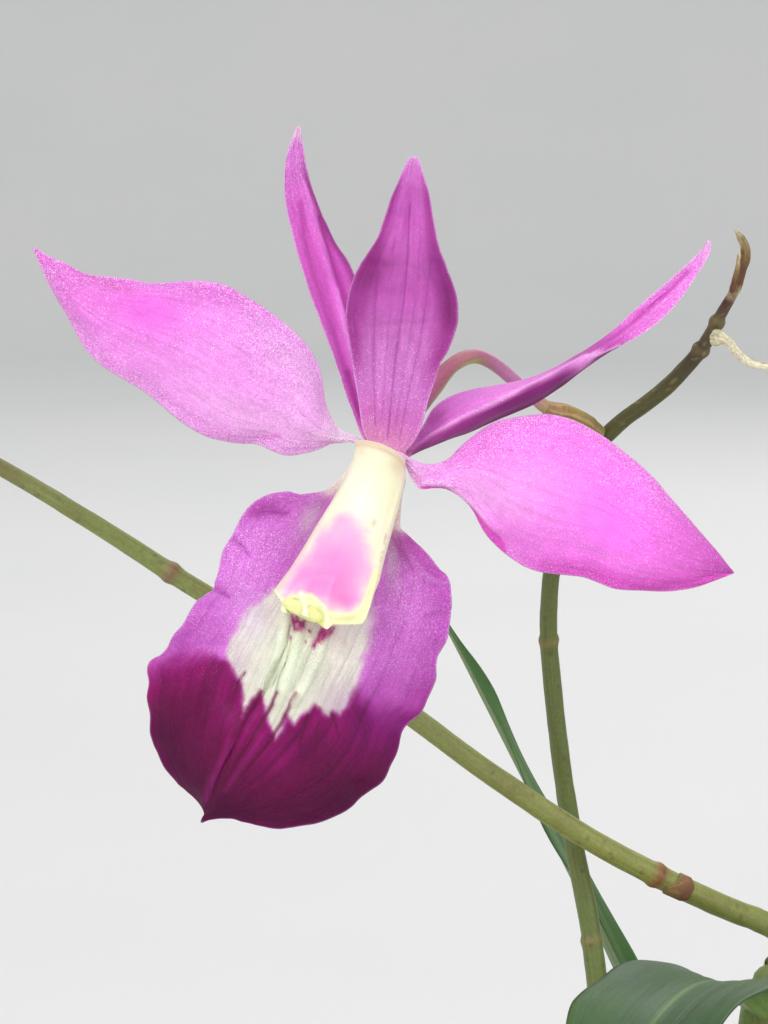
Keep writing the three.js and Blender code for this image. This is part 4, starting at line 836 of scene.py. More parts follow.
def relief_right_lateral(px, py, U, S, along, half):
    r = 0.08 * noise2(U * 7, S * 2.5, 51) + 0.04 * noise2(U * 19, S * 6, 52)
    r -= 0.22 * stroke(px, py, [(590, 354), (612, 338), (652, 306), (688, 270)], 4)
    d, _ = to_line(px, py, RIDGE)
    return r + 0.12 * np.exp(-((d / 2.2) ** 2))


# how much cell grain and painted glint the right lateral sepal gets, little on its underside
def grain_and_glint_right_lateral(px, py, U, S, edge):
    d, _ = to_line(px, py, RIDGE)
    below = signed(px, py, RIDGE + [(621, 348), (599, 362), (578.2, 377), (556.8, 393), (535.4, 407), (513.9, 417), (492.5, 427), (468.4, 438), (447, 445), (428.2, 453), (414, 458)])
    return np.clip(0.30 + 0.3 * np.exp(-((d / 3) ** 2)) + 0.3 * smooth(0.6, 0.9, U) + 0.2 * smooth(0.8, 0.2, edge), 0, 1) * (0.12 + 0.88 * smooth(1.5, -1.0, below))


# ---- lip
FRONT = [(231, 664), (237, 676), (242, 685), (243, 700), (242.5, 717), (248, 708), (254, 698), (261, 692), (264, 704), (268, 722), (275, 740), (281, 730), (286, 716), (294, 724), (301, 714), (308, 711), (313.6, 706), (321, 712), (328, 717), (332, 712), (340, 716), (348, 707), (355, 692)]
WHITE = [(274, 590), (263, 600), (251, 612), (240, 626), (231, 641), (228, 654)] + FRONT + [(359, 674), (364, 650), (369, 624), (366, 600), (330, 596)]
DARK = [(100, 684), (125, 682), (147, 671), (165, 663), (187, 657), (208, 657), (224, 660)] + FRONT + [(366, 700), (384, 711), (404, 711), (424, 701), (446, 688), (480, 676), (480, 900), (100, 900)]
KEELS = [[(286, 616), (281, 640), (275, 664), (267, 688)], [(300, 628), (293, 656), (283, 688), (276, 706)], [(326, 628), (319, 654), (306, 682), (290, 708)]]


def paint_lip(px, py, U, S, side, edge):
    wob = 1.6 * noise2(px / 9, py / 9, 61) + 1.0 * noise2(px / 3.5, py / 3.5, 62)
    comb = 1.7 * noise2(S * 13, U * 2, 63) + 0.8 * noise2(S * 27, U * 3, 64)
    c = base(px, "dd86dc")
    c = mix(c, C("e995e9"), 0.9 * blob(px, py, 247, 562, 26, 34, 20))
    c = mix(c, C("b552ad"), 0.75 * blob(px, py, 262, 508, 26, 12, -8))
    c = mix(c, C("cf74c8"), 0.5 * blob(px, py, 300, 503, 24, 9, 5))
    c = mix(c, C("d073cf"), 0.8 * blob(px, py, 212, 612, 18, 16, 40))
    c = mix(c, C("b958b5"), 0.85 * blob(px, py, 186, 636, 24, 13, -40))
    c = mix(c, C("e3a6e6"), 0.75 * blob(px, py, 246, 604, 16, 22, 35))
    c = mix(c, C("c560b5"), 0.8 * blob(px, py, 408, 545, 14, 18, -35))
    c = mix(c, C("e893e5"), 0.85 * blob(px, py, 400, 602, 26, 24, 0))
    c = mix(c, C("d877d6"), 0.6 * blob(px, py, 404, 645, 26, 18, 0))
    c = mix(c, C("c661c3"), 0.75 * smooth(424, 446, px) * smooth(560, 600, py) * smooth(700, 640, py))
    c = mix(c, C("b252a9"), 0.8 * blob(px, py, 424, 682, 26, 22, -30))
    c = mix(c, C("bd62ba"), 0.8 * blob(px, py, 384, 682, 22, 14, 0))
    # raised fold across the right lobe: painted shade on its far side, a painted highlight beside its crest, and
    # painted shade in a small crease at the margin below
    fold = [(388, 522), (400, 538), (412, 555), (424, 573), (438, 580), (454, 583)]
    d, t = to_line(px, py, fold)
    outer = smooth(-1.5, 2.5, np.where(py < np.interp(px, [388, 400, 412, 424, 438, 454], [522, 538, 555, 573, 580, 583]), d, -d))
    c = mix(c, C("bf5db2"), 0.62 * outer * smooth(480, 520, py) * (px > 380))
    c = mix(c, C("eab2e6"), 0.45 * np.exp(-(((d - 2.2) / 1.6) ** 2)) * (outer < 0.5))
    c = mix(c, C("b04ea8"), 0.5 * stroke(px, py, [(424, 617), (437, 613), (452, 611)], 2))
    # creases of the upper left lobe, darkened with painted shade
    c = mix(c, C("b04aa4"), 0.6 * stroke(px, py, [(252, 516), (268, 512), (288, 514)], 3.2))
    c = mix(c, C("a842a0"), 0.55 * stroke(px, py, [(233, 538), (241, 545), (247, 553)], 2.0) + 0.55 * stroke(px, py, [(208, 583), (218, 588), (228, 595)], 2.4))
    c = mix(c, C("c363c0"), 0.7 * blob(px, py, 210, 643, 18, 9, -20) + 0.55 * smooth(412, 440, px) * smooth(560, 592, py))
    c = c * np.array([0.95, 0.85, 0.95])
    # painted shade, greyish pale, in the hollows where the lobes meet the column
    c = mix(c, C("d9c8d6"), 0.75 * blob(px, py, 309, 519, 10, 22, 28))
    c = mix(c, C("d6c4cf"), 0.7 * blob(px, py, 391, 556, 8, 30, -4))
    # white throat
    sw = signed(px, py + comb * smooth(640, 700, py), WHITE) + wob
    soft = 3.4 + 9.0 * smooth(300, 370, px) * smooth(720, 610, py) + 4.5 * smooth(290, 240, px) * smooth(655, 620, py)
    white = base(px, "dfdccf")
    white = mix(white, C("e3d6e2"), 0.9 * blob(px, py, 252, 622, 18, 24, 25))
    white = mix(white, C("e9f6d6"), 0.95 * blob(px, py, 294, 655, 17, 42, 18))
    white = mix(white, C("d8dcc7"), 0.6 * blob(px, py, 322, 662, 12, 32, 14))
    white = mix(white, C("eeeae0"), 0.9 * smooth(312, 340, px) * smooth(700, 660, py) + 0.6 * smooth(345, 360, px))
    white = mix(white, C("d3bccb"), 0.65 * blob(px, py, 238, 664, 12, 22, 20))
    white = mix(white, C("c7a4c6"), 0.7 * smooth(660, 712, py) * smooth(300, 350, px))
    c = mix(c, white * np.array([0.99, 1.0, 0.985]), smooth(-soft, soft * 0.6, sw))
    # dark front, deepening towards the bottom: its own colour, partly painted shade
    sd = signed(px, py + comb, DARK) + wob
    w = 4.2 + 28 * smooth(340, 386, px) + 15 * smooth(236, 176, px)
    deep = base(px, "9d1f78")
    deep = mix(deep, C("7a1056"), smooth(10, 46, sd))
    deep = mix(deep, C("5b0743"), smooth(40, 88, sd))
    deep = mix(deep, C("8a2c80"), 0.8 * smooth(330, 372, px) * smooth(70, 10, sd))
    deep = mix(deep, C("540640"), 0.7 * smooth(360, 400, px) * smooth(30, 80, sd))
    deep = mix(deep, C("741257"), 0.7 * blob(px, py, 306, 744, 26, 20, 0))
    deep = mix(deep, C("560842"), 0.6 * smooth(190, 150, px) * smooth(690, 740, py))
    deep = deep * np.array([0.86, 0.2, 0.80])
    c = mix(c, deep, smooth(-w, w, sd))
    dark = smooth(-w, w, sd)
    # veins fan out over the dark front, each a dark line beside a brighter one
    fan = noise2(S * 24, U * 1.6, 65) + 0.6 * noise2(S * 47, U * 2.5, 66)
    c = mix(c, C("a21778"), 0.26 * dark * smooth(0.15, 0.9, fan) * smooth(60, 8, sd))
    c = mix(c, C("430530"), 0.24 * dark * smooth(0.1, 0.9, -fan))
    for v, wd, amt in [
        ([(246, 672), (240, 680), (236, 690)], 1.3, 0.75), ([(261, 691), (254, 704), (245, 721), (231, 751), (222, 785), (214, 800)], 2.3, 0.8),
        ([(278, 692), (268, 712), (252, 739), (233, 769), (218, 794)], 2.2, 0.85), ([(296, 694), (281.5, 721), (268, 742), (249, 767), (232, 786)], 2.0, 0.75),
        ([(307, 714), (302, 732), (298, 748)], 1.7, 0.6), ([(300, 738), (300, 758), (298, 780)], 1.5, 0.4), ([(331, 713), (335, 724), (338, 734)], 1.9, 0.65),
        ([(352, 706), (362, 724), (366, 742)], 1.4, 0.35), ([(238, 690), (214, 716), (178, 748)], 1.5, 0.35), ([(243, 712), (224, 740), (198, 772)], 1.6, 0.4), ([(318, 720), (314, 744), (306, 772)], 1.4, 0.35),
    ]:
        c = mix(c, C("5a0834"), amt * stroke(px, py, v, wd, 0.4))
    c = mix(c, C("a8358c"), 0.35 * stroke(px, py, [(232, 742), (214, 776), (206, 800)], 4.0) + 0.3 * stroke(px, py, [(262, 736), (242, 766), (226, 790)], 3.0))
    # mid line, and pale keels brightened with painted highlights
    for k, amt in zip(KEELS, (0.8, 0.6, 0.75)):
        c = mix(c, C("eefadb"), amt * stroke(px, py, k, 3.0, 0.35))
    c = mix(c, C("a9ac8b"), 0.7 * stroke(px, py, [(292, 640), (286, 662), (276, 690)], 1.2))
    c = mix(c, C("b8bb9f"), 0.55 * stroke(px, py, [(314, 640), (304, 664), (292, 690)], 1.5))
    c = mix(c, C("7f8a63"), 0.8 * stroke(px, py, [(288, 627), (286, 645), (277, 661), (268, 682), (262, 694)], 1.2))
    # crimson marks under the column
    marks = [([(290.5, 617), (293, 624), (295.5, 632)], 2.0), ([(296, 618), (298, 624), (301, 629)], 1.7), ([(304, 622), (300.5, 627), (298, 632)], 1.6), ([(292, 621), (297, 624), (303, 624)], 1.5),
             ([(328, 627), (321, 636), (313, 645.5)], 2.4), ([(331, 632), (325, 636), (319, 643)], 1.7), ([(333.5, 628), (328.5, 633)], 1.5), ([(322, 630), (318, 638)], 1.4),
             ([(308.3, 631), (309.3, 632.5)], 1.7), ([(289.6, 638.5), (290.4, 640)], 1.4), ([(314, 646.5), (314.6, 648)], 1.5), ([(304, 642), (304.5, 643)], 1.1)]
    for m, wd in marks:
        c = mix(c, C("a62a72"), 0.9 * stroke(px, py, m, wd))
    # the sides that clasp the column are cream
    c = mix(c, C("fffde6"), 0.97 * smooth(0.16, 0.09, U + 0.03 * np.abs(S)))
    c = mix(c, C("fffde6"), 0.97 * stroke(px, py, [(357, 445), (350, 461), (341, 478), (328, 487)], 9))
    c = mix(c, C("fffbe0"), 0.97 * stroke(px, py, [(407, 466), (404, 492), (402, 512), (400, 527)], 9))
    flap = np.maximum(stroke(px, py, [(357, 445), (350, 461), (341, 478), (328, 487)], 9), stroke(px, py, [(407, 466), (404, 492), (402, 512), (400, 527)], 9))
    if side < 0:
        c = mix(mix(c, C("cf86cc"), 0.55), C("f8f0dc"), np.maximum(0.8 * smooth(0.2, 0.05, U), 0.95 * flap))
    return c


def relief_lip(px, py, U, S, along, half):
    r = 0.0 * px
    for k in KEELS:
        r = r + 0.42 * stroke(px, py, k, 3.4, 0.3)
    r -= 0.20 * stroke(px, py, [(287, 662), (268, 690), (246, 724), (222, 768), (204, 814)], 2.6)
    for v in [[(252, 708), (237, 736), (208, 797)], [(262, 720), (231, 772)], [(276, 734), (242, 786)], [(298, 734), (270, 790)], [(337, 725), (346, 770)], [(246, 700), (196, 768)]]:
        r -= 0.06 * stroke(px, py, v, 1.8)
    r += 0.16 * noise2(px / 26, py / 26, 71) + 0.06 * noise2(px / 9, py / 9, 72)
    e = np.abs(S)
    ruff = smooth(0.72, 1.0, e) * smooth(0.12, 0.25, U)
    r += ruff * (0.42 * np.sin(U * 41 + 1.3 * np.sign(S)) + 0.22 * np.sin(U * 87 + 2)) * smooth(0.95, 0.5, U)
    r += 0.5 * stroke(px, py, [(388, 522), (400, 538), (412, 555), (424, 573), (438, 580), (452, 583)], 4.5)
    r -= 0.35 * stroke(px, py, [(252, 516), (268, 512), (288, 514)], 4)
    r -= 0.5 * stroke(px, py, [(233, 538), (241, 545), (250, 556)], 3) + 0.5 * stroke(px, py, [(206, 583), (218, 588), (230, 596)], 3)
    r -= 0.25 * stroke(px, py, [(424, 617), (437, 613), (452, 611)], 3)
    return r


# how much cell grain and painted glint the lip gets, less towards its lower front
def grain_and_glint_lip(px, py, U, S, edge):
    lobes = blob(px, py, 258, 555, 46, 44) + blob(px, py, 410, 610, 36, 62) + 0.6 * blob(px, py, 215, 625, 34, 26)
    low = smooth(660, 715, py)
    return np.clip(0.30 + 0.50 * lobes + 0.3 * smooth(2.0, 0.3, edge) * (1 - low) - 0.22 * low + 0.25 * blob(px, py, 318, 640, 10, 34, 25) - 0.25 * blob(px, py, 262, 645, 22, 34), 0, 1)


tepal("left_petal", 150, 76, 0.55, paint_left_petal, relief_left_petal, grain_and_glint_left_petal, MAT["petal"], "petal", 13, 0.08, (0.975, 0.925, 0.96))
tepal("right_petal", 150, 76, 0.55, paint_right_petal, relief_right_petal, grain_and_glint_right_petal, MAT["petal"], "petal", 13, 0.08, (1.0, 0.90, 0.98))
tepal("dorsal_sepal", 140, 64, 0.55, paint_dorsal, relief_dorsal, grain_and_glint_dorsal, MAT["petal"], "petal", 9, 0.05, (1.02, 0.975, 1.02))
tepal("left_lateral_sepal", 140, 50, 0.55, paint_left_lateral, relief_left_lateral, grain_and_glint_left_lateral, MAT["petal"], "petal", 7, 0.08, (1.03, 0.95, 1.02))
tepal("right_lateral_sepal", 150, 56, 0.55, paint_right_lateral, relief_right_lateral, grain_and_glint_right_lateral, MAT["petal"], "petal", 7, 0.06, (1.0, 0.92, 0.985))
tepal("lip", 190, 170, 0.55, paint_lip, relief_lip, grain_and_glint_lip, MAT["lip"], "lip", 19, 0.10)


# ---- column: a winged body that widens to its end, which is notched round the anther cap
def column_piece():
    rows = np.array([[354.5, 441, 407, 459, -0.2, 1.9]] + COLUMN, float)
    nr = 176
    u = np.concatenate([np.linspace(0, 6, 66, endpoint=False), np.linspace(6, len(rows), 50)])
    nu = len(u)
    a = np.linspace(0, 2 * np.pi, nr, endpoint=False)
    s, z = np.cos(a)[None], np.sin(a)[None]
    s = np.sign(s) * np.abs(s) ** 0.92
    i = np.clip(u.astype(int), 0, len(rows) - 2)
    t = np.clip(u - i, 0, 1)[:, None]
    t = 0.35 * t * t * (3 - 2 * t) + 0.65 * t
    c = rows[i] + (rows[i + 1] - rows[i]) * t
    flare = 1 + 0.09 * np.exp(-((u / 0.55) ** 2))
    px = (c[:, :1] + c[:, 2:3]) / 2 + (c[:, 2:3] - c[:, :1]) / 2 * s * flare[:, None]
    py = (c[:, 1:2] + c[:, 3:4]) / 2 + (c[:, 3:4] - c[:, 1:2]) / 2 * s * flare[:, None]
    # its foot is an arched ring, its end a jagged line
    py = py - 6.5 * (1 - s**2) * np.exp(-((u[:, None] / 0.8) ** 2))
    rim_line = np.array(COLUMN_END, float)
    run = np.concatenate([[0], np.cumsum(np.abs(np.diff(rim_line[:, 0])) + 0.35 * np.abs(np.diff(rim_line[:, 1])))])
    run = 2 * run / run[-1] - 1
    ex, ey = np.interp(s, run, rim_line[:, 0]), np.interp(s, run, rim_line[:, 1])
    last = np.clip(u - (len(rows) - 1), 0, 1)[:, None]
    px, py = px + (ex - px) * last, py + (ey - py) * last
    way = np.clip((py - 0.12 * (px - 330) - 575) / 48, 0, 1) * (last > 0)
    mid_d = c[:, 4:5] - 1.6 * way
    thick = c[:, 5:6] - 0.93 * smooth(0.0, 1.0, way)
    U = np.broadcast_to((u / u[-1])[:, None], px.shape)
    z2 = np.broadcast_to(z, px.shape)
    front = smooth(0.0, -0.5, z2)
    d = mid_d + z2 * thick + 0.5 * s**2 * (1 - 0.6 * way)
    # a ring at the foot, a soft keel along the front, raised wings at its sides, and two hollows at the end
    d = d - 0.22 * front * np.exp(-(((u[:, None] - 0.12) / 0.16) ** 2)) + 0.20 * front * np.exp(-(((u[:, None] - 0.62) / 0.28) ** 2))
    d = d - 0.30 * front * np.exp(-(((px - np.interp(py, [440, 520, 620], [384, 356, 322])) / 9) ** 2)) * smooth(0.02, 0.2, U)
    d = d - 0.24 * front * smooth(0.76, 0.95, np.abs(s)) * smooth(0.15, 0.5, U)
    d = d + 0.16 * front * blob(px, py, 332, 585, 26, 22)
    below = smooth(-2.0, 1.5, py - np.interp(px, *zip(*COLUMN_RIM)))
    d = d + front * below * (0.95 * blob(px, py, 292.5, 607.5, 6.5, 6) + 1.0 * blob(px, py, 319, 618, 6.5, 6.5, 30))
    d = d - front * (0.34 * stroke(px, py, [(301, 594), (303, 604), (305.5, 614)], 4) + 0.30 * stroke(px, py, [(284, 600), (285, 606), (285, 612)], 2.6) + 0.34 * stroke(px, py, [(324, 606), (326.5, 617), (327, 628)], 3.2))
    d = d - 0.20 * front * smooth(0.0, 3.0, py - np.interp(px, *zip(*COLUMN_RIM))) * smooth(7.0, 2.0, py - np.interp(px, *zip(*COLUMN_RIM)))
    d = d + front * 0.40 * blob(px, py, 348, 620, 12, 4)
    d = d + 0.05 * noise2(px / 12, py / 12, 81) + 0.04 * noise2(px / 4, py / 4, 80) * below
    g = at(px, py, d)
    m = nu
    idx = np.arange(m * nr).reshape(m, nr)
    loop = np.concatenate([idx, idx[:, :1]], 1)
    # the end closes on a line of its own, row by row, so the notches stay
    mids = (g[-1] + g[-1][(-np.arange(nr)) % nr]) / 2 + UP * 0.05
    co = np.concatenate([g.reshape(-1, 3), mids, at(381, 450, 0.4)[None]])
    cap = np.arange(m * nr, m * nr + nr)
    cap_loop = np.stack([loop[-1], np.append(cap, cap[0])])
    f = [np.concatenate([quads(loop, False), quads(cap_loop, False)]), np.stack([np.full(nr, m * nr + nr), loop[0, :-1], loop[0, 1:]], -1)]
    # painted by place
    X = np.concatenate([px.ravel(), px[-1], [381]])
    Y = np.concatenate([py.ravel(), py[-1] + 1.0, [450]])
    k = base(X, "f6f6d2")
    k = mix(k, C("fcfcec"), 0.95 * blob(X, Y, 358, 500, 24, 32, -25))
    k = mix(k, C("f1f3c6"), 0.75 * blob(X, Y, 392, 500, 10, 34, 6))
    k = mix(k, C("f3f4cc"), 0.6 * blob(X, Y, 338, 490, 14, 16, -35))
    # painted shade in the crease under the ring at the foot, and two tan patches of painted shade
    arch = np.interp(X, [348, 356, 366, 376, 387, 398, 404, 411], [441, 438, 437.5, 439, 443.5, 451, 458, 466])
    k = mix(k, C("dcb9a6"), 0.55 * np.exp(-(((Y - arch - 7) / 3.4) ** 2)) * smooth(350, 358, X))
    k = mix(k, C("d9c29a"), 0.45 * blob(X, Y, 397, 466, 8, 10, -30) + 0.25 * blob(X, Y, 362, 452, 6, 4))
    k = mix(k, C("f6dbe3"), 0.9 * smooth(4.5, 1.0, Y - arch))
    poly = [(338, 513), (352, 515), (366, 529), (373, 548), (373, 575), (366, 601), (350, 615), (330, 610), (318, 601), (303, 593), (284, 599), (276, 590), (288, 571), (303, 550), (321, 529)]
    wob = 5 * noise2(X / 10, Y / 10, 82) + 2 * noise2(X / 3, Y / 3, 83)
    pink = smooth(-7.0, 12.0, signed(X, Y, poly) + 0.6 * wob)
    k = mix(k, C("f9b9e3"), 0.98 * pink)
    k = mix(k, C("f56fc6"), 0.98 * blob(X, Y, 322, 583, 30, 19, -12) * pink)
    k = mix(k, C("f47cc8"), 0.75 * blob(X, Y, 344, 600, 16, 10, 20) * pink)
    k = mix(k, C("f68fd4"), 0.8 * blob(X, Y, 332, 561, 24, 22, -25) * pink)
    k = mix(k, C("f7b0df"), 0.55 * blob(X, Y, 339, 524, 5, 12, 30))
    left = np.interp(Y, [440, 514, 537, 559, 579, 600], [340, 322, 309, 295, 283, 274])
    right_ = np.interp(Y, [440, 525, 556, 584, 607, 625], [405, 389, 383, 374.5, 368, 361])
    k = mix(k, C("efe9cd"), 0.75 * smooth(9, 2, right_ - X) * smooth(505, 540, Y))
    k = mix(k, C("e6d9bf"), 0.5 * smooth(4, 1, X - left) * smooth(520, 550, Y))
    # painted shadow line along the column's right side, where it meets the lip
    k = mix(k, C("b98a82"), 0.6 * np.exp(-(((right_ - X - 1.2) / 1.0) ** 2)) * smooth(520, 540, Y) * smooth(-0.3, 0.5, noise2(X / 2, Y / 2.2, 84)))
    k = mix(k, C("c9b98f"), 0.6 * blob(X, Y, 374, 523, 2.4, 4, 15))
    # cream rim at the end, yellow in its hollows; painted shade deep in the hollows and in a small recess, and painted
    # highlights on the ridges between them
    rim = np.interp(X, *zip(*COLUMN_RIM))
    on = smooth(-1.4, 1.4, Y - rim + 0.45 * wob)
    k = mix(k, C("f4f4c0"), on)
    k = mix(k, C("e3e68c"), 0.95 * (blob(X, Y, 292.5, 607.5, 6, 5.5) + blob(X, Y, 318.5, 618, 6, 7, 30)) * on)
    k = mix(k, C("c9cd68"), 0.75 * (blob(X, Y, 293, 610.5, 5, 2.6) + blob(X, Y, 320, 621.5, 4, 3.2, 35)) * on)
    k = mix(k, C("fbfbe2"), 0.85 * stroke(X, Y, [(301, 594), (303, 604), (305, 613)], 3.0) + 0.7 * stroke(X, Y, [(283.5, 601), (285, 606), (285, 611)], 2.0) + 0.7 * stroke(X, Y, [(324, 607), (326.5, 617), (327, 628)], 2.2))
    k = mix(k, C("e3dfb0"), 0.55 * on * blob(X, Y, 349, 621, 10, 3))
    back = np.concatenate([smooth(0.1, 0.6, z2).ravel(), np.zeros(nr + 1)])
    k = mix(k, C("f3dccf"), 0.75 * back)
    Uf = np.concatenate([U.ravel(), np.ones(nr), [0]])
    flow = np.stack([Uf * 20, X * 0.1, np.zeros_like(X)], -1)
    return make("column", co, f, MAT["column"], "column", ["column"], paint=k, flow=flow)


column_piece()


# ---- anther cap: two yellow lobes that show in the hollows of the column's end
def anther_cap():
    n1, n2 = 40, 56
    th = np.linspace(0, np.pi, n1)[1:-1]
    ph = np.linspace(0, 2 * np.pi, n2, endpoint=False)
    T, P = np.meshgrid(th, ph, indexing="ij")
    x, y, z = np.sin(T) * np.cos(P), np.sin(T) * np.sin(P), np.cos(T)
    lobe = 1 - 0.22 * np.exp(-((x / 0.18) ** 2)) * smooth(0.2, -0.6, y) + 0.05 * noise2(x * 3, z * 3, 85)
    v = np.stack([x * 2.25 * lobe, y * 0.42 * lobe, z * 0.75 * lobe], -1)
    a = 0.42
    ca, sa = math.cos(a), math.sin(a)
    v = np.stack([v[..., 0] * ca + v[..., 2] * sa, v[..., 1], -v[..., 0] * sa + v[..., 2] * ca], -1)
    at0 = at(305.5, 611, -8.85)
    m = len(th)
    idx = np.arange(m * n2).reshape(m, n2)
    loop = np.concatenate([idx, idx[:, :1]], 1)
    pole = np.array([sa, 0, ca]) * 0.75
    co = np.concatenate([(v + at0).reshape(-1, 3), (at0 + pole)[None], (at0 - pole)[None]])
    f = [quads(loop), np.stack([np.full(n2, m * n2), loop[0, :-1], loop[0, 1:]], -1), np.stack([np.full(n2, m * n2 + 1), loop[-1, 1:], loop[-1, :-1]], -1)]
    X = np.concatenate([x.ravel(), [0, 0]])
    k = mix(base(X, "f0efa4"), C("dcd978"), 0.7 * np.exp(-((X / 0.2) ** 2)))
    flow = np.stack([X, X, X], -1)
    make("anther_cap", co, f, MAT["column"], "column", ["anther_cap"], paint=k, flow=flow)


anther_cap()


def tube_piece(name, pts, radius, nu, nr, paint, mat, slot, nodes=None, relief=None, ends=(True, True), flat=None, parts=None, u=None):
    curve = pts if isinstance(pts, Curve) else Curve(pts)
    co, f, U, A = tube_mesh(curve, radius, nu, nr, relief, u=u, round_ends=ends, squash=flat)
    k = paint(U, A, U * curve.length, co)
    r = float(np.max(radius)) if isinstance(radius, np.ndarray) else max(v for _, v in radius)
    # the cross coordinate runs up and back so that it has no seam
    flow = np.stack([U * curve.length, np.sin(A) * r * 1.3, np.cos(A) * r * 1.3], -1)
    # an even, low amount of cell grain and painted glint, read by the bud skin
    if parts is not None:
        parts.add(co, f, paint=k, flow=flow, frost=np.full(len(co), 0.15))
        return None
    return make(name, co, f, mat, slot, [name] if nodes is None else nodes, paint=k, flow=flow, frost=np.full(len(co), 0.15))


# ---- ovary and its stalk
stalk_pts = [at(*p) for p in [(388.5, 448, 3.6), (396, 437, 6.0), (406, 424, 8), (421.8, 401.4, 9.5), (434.5, 385.3, 10.8), (448.4, 368.6, 12.2), (461, 359.8, 13.4), (474.3, 356.1, 14.8), (487, 360, 16.1), (499.7, 368.2, 17.3), (514, 380.5, 18.6), (529, 394, 19.8), (543.5, 405.7, 20.9)]]


def ovary():
    curve = Curve(stalk_pts)
    co, f, U, A = tube_mesh(curve, [[0, 1.75], [0.06, 1.3], [0.16, 1.02], [0.36, 0.94], [0.5, 0.78], [0.75, 0.69], [0.95, 0.6], [1, 0.7]], 110, 24, lambda U, A, L: 0.06 * np.cos(3 * A + 1.5 * U * 6) * smooth(0.55, 0.3, U) + 0.02 * noise2(U * 30, np.cos(A) * 2, 91, np.sin(A) * 2))
    c = curve(U)
    down = unit(co - c) @ np.array([0.25, 0.0, -1.0])
    k = by([(0, "dfa9bb"), (0.12, "c9789f"), (0.3, "b95f8b"), (0.45, "b9667f"), (0.55, "bd7d80"), (0.65, "bb7292"), (0.8, "c57fae"), (0.93, "c48ca8"), (1, "b39a6c")], U)
    green = smooth(0.05, 0.75, down) * smooth(0.25, 0.42, U) * smooth(0.72, 0.6, U)
    k = mix(k, C("a9b060"), 0.9 * green)
    k = mix(k, C("9e4470"), 0.5 * smooth(0.3, 0.9, -down) * smooth(0.15, 0.3, U) * smooth(0.6, 0.4, U))
    flow = np.stack([U * curve.length, np.sin(A), np.cos(A)], -1)
    make("ovary_stalk", co, f, MAT["ovary"], "stem", ["ovary_stalk"], paint=k, flow=flow)


ovary()


# ---- a papery bract that wraps a stem: from its ring-like foot to a pointed tip
def bract(name, curve, start, stop, r0, r1, parts=None, sweep=1.55, tip_at=0.0, colours=("9c8450", "cdbb8a", "b39a68"), lift=0.0, nodes=None, thick=0.14):
    """Wraps curve from share start to stop at radius r0 to r1; sweep is the half angle at the foot (pi = all round)."""
    nu, nv = 34, 40
    u, s = np.linspace(0, 1, nu), np.linspace(-1, 1, nv)
    share = start + (stop - start) * u
    c, tan, n, b = curve.frames(share)
    U, S = np.meshgrid(u, s, indexing="ij")
    half = sweep * (1 - smooth(0.35, 1.0, U) * 0.93)
    ang = tip_at + S * half
    r = r0 + (r1 - r0) * U + lift * U**3 + 0.05 * noise2(U * 6, S * 3, 95) * U
    r = r + 0.05 * np.cos(S * 14) * (1 - U)
    g = c[:, None] + (np.cos(ang) * r)[..., None] * n[:, None] + (np.sin(ang) * r)[..., None] * b[:, None]
    e = np.minimum((1 - np.abs(S)) * half * r, (1 - U) * 3)
    t = thick * np.sqrt(np.clip(e / 0.25, 0, 1)) * (1 - 0.4 * U) + 0.0
    t[0] = 0
    length = (stop - start) * curve.length

    def col(side):
        k = mix(base(U, colours[0]), C(colours[1]), smooth(0.05, 0.6, U + 0.12 * noise2(U * 4, S * 3, 96)))
        k = mix(k, C(colours[2]), 0.5 * smooth(0.2, 0.8, noise2(S * 12, U * 2, 97)))
        return mix(k, C("6e5734"), 0.6 * smooth(0.86, 1.0, U))

    flow = np.stack([U * length, S * half * r, np.zeros_like(U)], -1)
    co, f, attrs = closed_sheet(g, t, None, flow, col, {})
    if parts is not None:
        parts.add(co, f, **attrs)
        return None
    return make(name, co, f, MAT["husk"], "husk", [name] if nodes is None else nodes, **attrs)


def bract_tube():
    """The small ridged bract at the foot of the flower's stalk."""
    pts = [at(*p) for p in [(541.5, 404, 20.9), (546.5, 407.8, 21.4), (556, 411, 22.1), (569, 413.5, 22.8), (584, 421, 23.4), (593, 427.5, 23.6), (599, 433, 23.9)]]

    def paint(U, A, L, co):
        k = by([(0, "b98f86"), (0.12, "b08a62"), (0.4, "a98a52"), (0.75, "9d8a4c"), (1, "8a8248")], U)
        return mix(k, C("cdb184"), 0.6 * smooth(0.2, 0.9, np.cos(6 * A + 3 * U)))

    tube_piece("flower_bract", pts, [[0, 0.45], [0.12, 0.72], [0.35, 0.88], [0.75, 0.84], [1, 0.7]], 60, 30, paint, MAT["husk"], "husk", relief=lambda U, A, L: 0.08 * np.cos(6 * A + 3 * U) * smooth(0, 0.2, U) + 0.04 * noise2(U * 16, np.cos(A) * 3, 92, np.sin(A) * 3))


bract_tube()

# ---- flower stem
V = lambda *a: np.array(a, float)
stem_pts = [V(12.1, 8.1, 163.0), V(12.2, 8.3, 175), V(11.7, 9, 190)] + [at(*p) for p in [(592, 940, 40.5), (575, 850, 40.5), (563, 775, 39.3), (554, 700, 37), (549, 640, 34.3), (550, 590, 31.6), (557, 543, 29), (573, 490, 26.8), (597, 447, 25.5), (622, 421.3, 23.5), (648, 402.2, 21.3), (666, 387.5, 19.8), (685, 368.5, 18), (701, 349.5, 16.3), (711, 334, 15), (719, 318, 14), (726.5, 305, 13.2), (733.5, 292.5, 12.6)]]
STEM = Curve(stem_pts)


def share_near(curve, p):
    return curve.run[np.argmin(np.linalg.norm(curve.pts - p, axis=1))] / curve.length


